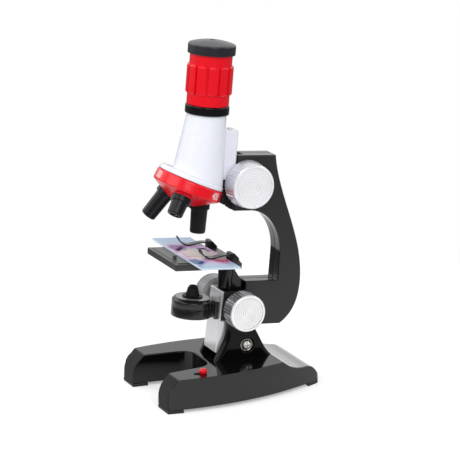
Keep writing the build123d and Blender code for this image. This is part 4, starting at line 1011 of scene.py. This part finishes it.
def rounded(node, width, steps=2, shaped=None):
    """A copy of a CAD node with rounded edges, in the node's place.

    width is the bevel's, in mm, and shaped works on the copy first.
    """
    bm = merged(node)
    if shaped:
        shaped(bm)
    bm, count = bevelled(bm, width * MM, steps)
    smooth_faces(bm)
    mesh = as_mesh(bm, node + "_rounded")
    if "custom_normal" in mesh.attributes:
        mesh.attributes.remove(mesh.attributes["custom_normal"])
    mesh.set_sharp_from_angle(angle=CREASE)
    piece = show(mesh, node + "_rounded", look_of[node], body_of(node))
    flat = piece.modifiers.new("flat_faces_stay_flat", "WEIGHTED_NORMAL")
    flat.keep_sharp = True
    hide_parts(node)
    print(node, count, "edges rounded,", len(mesh.polygons), "faces")


# %% [markdown]
# ## Base and pillar
# The base is the largest moulding and has the softest edges. The front of each leg is bent, and on the
# real one that bend is a soft curve, so it gets a wide bevel of its own before the small one goes
# round all the edges. The cheeks of the pillar are sharper, and the small parts sharper still.

# %% Base and pillar
TOE_ROUND = 5.0 * MM
TOE_STEPS = 6
TOE_DEPTH = 1.5 * MM  # how far the bend may be from the very front
TOE_FORWARD = -0.3  # how far the faces at the bend look to the front
TOE_FOOT = 9 * MM  # the height above which the bend is looked for


def round_toes(bm):
    """The bent front of each leg becomes one soft curve."""
    bends = [
        edge for edge in bm.edges
        if is_sharp(edge)
        and all(vert.co.y < cad_low.y + TOE_DEPTH for vert in edge.verts)
        and all(vert.co.z > TOE_FOOT for vert in edge.verts)
        and all(face.normal.y < TOE_FORWARD for face in edge.link_faces)
    ]
    bevel(bm, bends, TOE_ROUND, TOE_STEPS)
    number_edges(bm)
    print(len(bends), "toe bends rounded")


rounded("base_shell", 0.8, steps=3, shaped=round_toes)
for node in ("pillar_right", "pillar_left"):
    rounded(node, 0.5)
for node in ("base_plate", "battery_door", "foot_pads", "switch_slider"):
    rounded(node, 0.25)

# %% [markdown]
# ## Arm, column and stage
# The arm is made of two halves, and the small round on each leaves the fine seam line where they meet.
# The bracket under the stage has wide, soft edges that draw long highlights. The clips and the slide
# are thin, so their round is only a tenth of a millimetre.

# %% Arm, column and stage
for node in ("arm_right", "arm_left"):
    rounded(node, 0.5)
rounded("stage_bracket", 1.0, steps=4)
rounded("column_cover", 0.6, steps=3)
for node in ("stage_plate", "lamp_bracket"):
    rounded(node, 0.35)
for node in ("stage_clip_right", "stage_clip_left", "specimen_slide"):
    rounded(node, 0.12)

# %% [markdown]
# ## Lamp, tube, nosepiece and eyepiece
# These are turned forms with thin walls. A third of a millimetre is enough for an edge to show as a
# fine bright line, and the tube and the objectives, which are thinner, get a little less.

# %% Lamp
for node in ("lamp_housing", "lamp_cover", "lamp_hood"):
    rounded(node, 0.3)

# %% Tube, nosepiece and eyepiece
for node in (
    "tube_ring", "tube_flange", "rack_carrier", "nosepiece", "eyepiece_barrel", "eyepiece_cap"
):
    rounded(node, 0.3)
for node in ("body_tube", "objective_low", "objective_mid", "objective_high"):
    rounded(node, 0.2)

# %% [markdown]
# ## Eyelet of the cross screw
# The screw that holds the pillar together sits in a round pocket with a bright rolled ring at its
# bottom. A torus would do, but its primitive isn't one of bmesh's, so the ring is a small circle that
# is spun once round the screw's axis.

# %% Eyelet
EYELET_R = 3.75 * MM
EYELET_WIRE = 0.45 * MM
EYELET_BACK = 1.35 * MM
WIRE_SIDES = 12
SPIN_STEPS = 48

low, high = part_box("pillar_screw")
centre = Vector((high.x - EYELET_BACK, (low.y + high.y) / 2, (low.z + high.z) / 2))
bm = bmesh.new()
bmesh.ops.create_circle(bm, segments=WIRE_SIDES, radius=EYELET_WIRE)
bmesh.ops.translate(bm, verts=bm.verts, vec=centre + Vector((0, EYELET_R, 0)))
bmesh.ops.spin(
    bm, geom=bm.verts[:] + bm.edges[:], cent=centre, axis=(1, 0, 0), angle=2 * math.pi,
    steps=SPIN_STEPS, use_merge=True,
)
bmesh.ops.recalc_face_normals(bm, faces=bm.faces)
smooth_faces(bm)
mesh = as_mesh(bm, "cross_screw_eyelet")
show(mesh, "cross_screw_eyelet", finishes["steel"], "base")
print("eyelet:", len(mesh.polygons), "faces")

# %% [markdown]
# ## Numbers on the nosepiece
# Each objective has its number printed in white on the red rim, across from it, where the user can
# read it when that objective is in use. A text object is flat and the rim is round, so the text is
# made a mesh, sliced into narrow strips, given the thickness of the ink and then wrapped round the
# rim: its width becomes an angle and its height a step along the axis. A printed texture would be
# simpler, but it would need an image.

# %% A flat number
INK_WHITE = (0.80, 0.80, 0.80)
INK_SUNK = 0.06 * MM
INK_PROUD = 0.04 * MM
SLICE = 0.5 * MM
NARROW = 0.7

finishes["white_ink"] = finish(
    "white_printing_ink", INK_WHITE, roughness=0.5, waves=1600, depth=0.004, tone=0.15, dusty=0.0
)


def flat_number(text, height):
    """A text as a thin flat bmesh round the origin, sliced so that it can bend; height in metres."""
    curve = bpy.data.curves.new("number", "FONT")
    curve.body = text
    curve.size = height
    curve.align_x = "CENTER"
    curve.align_y = "CENTER"
    sign = bpy.data.objects.new("number", curve)
    bpy.context.scene.collection.objects.link(sign)
    written = sign.evaluated_get(bpy.context.evaluated_depsgraph_get())
    bm = bmesh.new()
    bm.from_mesh(bpy.data.meshes.new_from_object(written))
    bpy.data.objects.remove(sign)
    bmesh.ops.remove_doubles(bm, verts=bm.verts, dist=WELD)
    bmesh.ops.scale(bm, verts=bm.verts, vec=(NARROW, 1, 1))
    half = max(abs(vert.co.x) for vert in bm.verts)
    slices = math.ceil(2 * half / SLICE)
    for step in range(1, slices):
        bmesh.ops.bisect_plane(
            bm, geom=bm.verts[:] + bm.edges[:] + bm.faces[:],
            plane_co=((2 * step / slices - 1) * half, 0, 0), plane_no=(1, 0, 0),
        )
    bmesh.ops.translate(bm, verts=bm.verts, vec=(0, 0, -INK_SUNK))
    raised = bmesh.ops.extrude_face_region(bm, geom=bm.faces[:])["geom"]
    top = [part for part in raised if isinstance(part, bmesh.types.BMVert)]
    bmesh.ops.translate(bm, verts=top, vec=(0, 0, INK_SUNK + INK_PROUD))
    bmesh.ops.recalc_face_normals(bm, faces=bm.faces)
    return bm


# %% The rim of the nosepiece
RIM_SHARE = 0.96  # the rim ends where it gets narrower than this share of its widest place

turning = next(joint for joint in frame["joints"] if joint["child"] == "nosepiece")
pivot, upward = Vector(turning["pos_m"]), Vector(turning["axis"]).normalized()
outline = []
for vert in frame["nodes"]["nosepiece"].data.vertices:
    rise = (vert.co - pivot).dot(upward)
    outline.append((rise, (vert.co - pivot - rise * upward).length))
rim_low, rim_low_r = max(outline, key=lambda place: place[1])
rim_high, rim_high_r = max(place for place in outline if place[1] > RIM_SHARE * rim_low_r)
print("rim, mm:", [round(size / MM, 2) for size in (rim_low, rim_low_r, rim_high, rim_high_r)])

# %% Wrap the numbers round the rim
NUMBER_HEIGHT = 6.4 * MM
NUMBERS = {"objective_low": "40", "objective_mid": "100", "objective_high": "400"}

for node, text in NUMBERS.items():
    low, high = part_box(node)
    outward = pivot - (low + high) / 2
    outward = (outward - outward.dot(upward) * upward).normalized()
    sideways = upward.cross(outward)
    bm = flat_number(text, NUMBER_HEIGHT)
    for vert in bm.verts:
        rise = (rim_low + rim_high) / 2 + vert.co.y
        share = (rise - rim_low) / (rim_high - rim_low)
        radius = rim_low_r + (rim_high_r - rim_low_r) * share
        angle = vert.co.x / rim_low_r
        spoke = math.cos(angle) * outward + math.sin(angle) * sideways
        vert.co = pivot + rise * upward + (radius + vert.co.z) * spoke
    name = "number_of_" + node
    show(as_mesh(bm, name), name, finishes["white_ink"], "nosepiece")
    print(node, "is number", text)

# %% [markdown]
# ## Size
# Rounding and printing must not make the object larger, so the box of the dressed model is written
# beside the box of the bare one.

# %% Size of the dressed model
low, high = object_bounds()
print("dressed model, mm:", [round(side / MM, 1) for side in high - low])
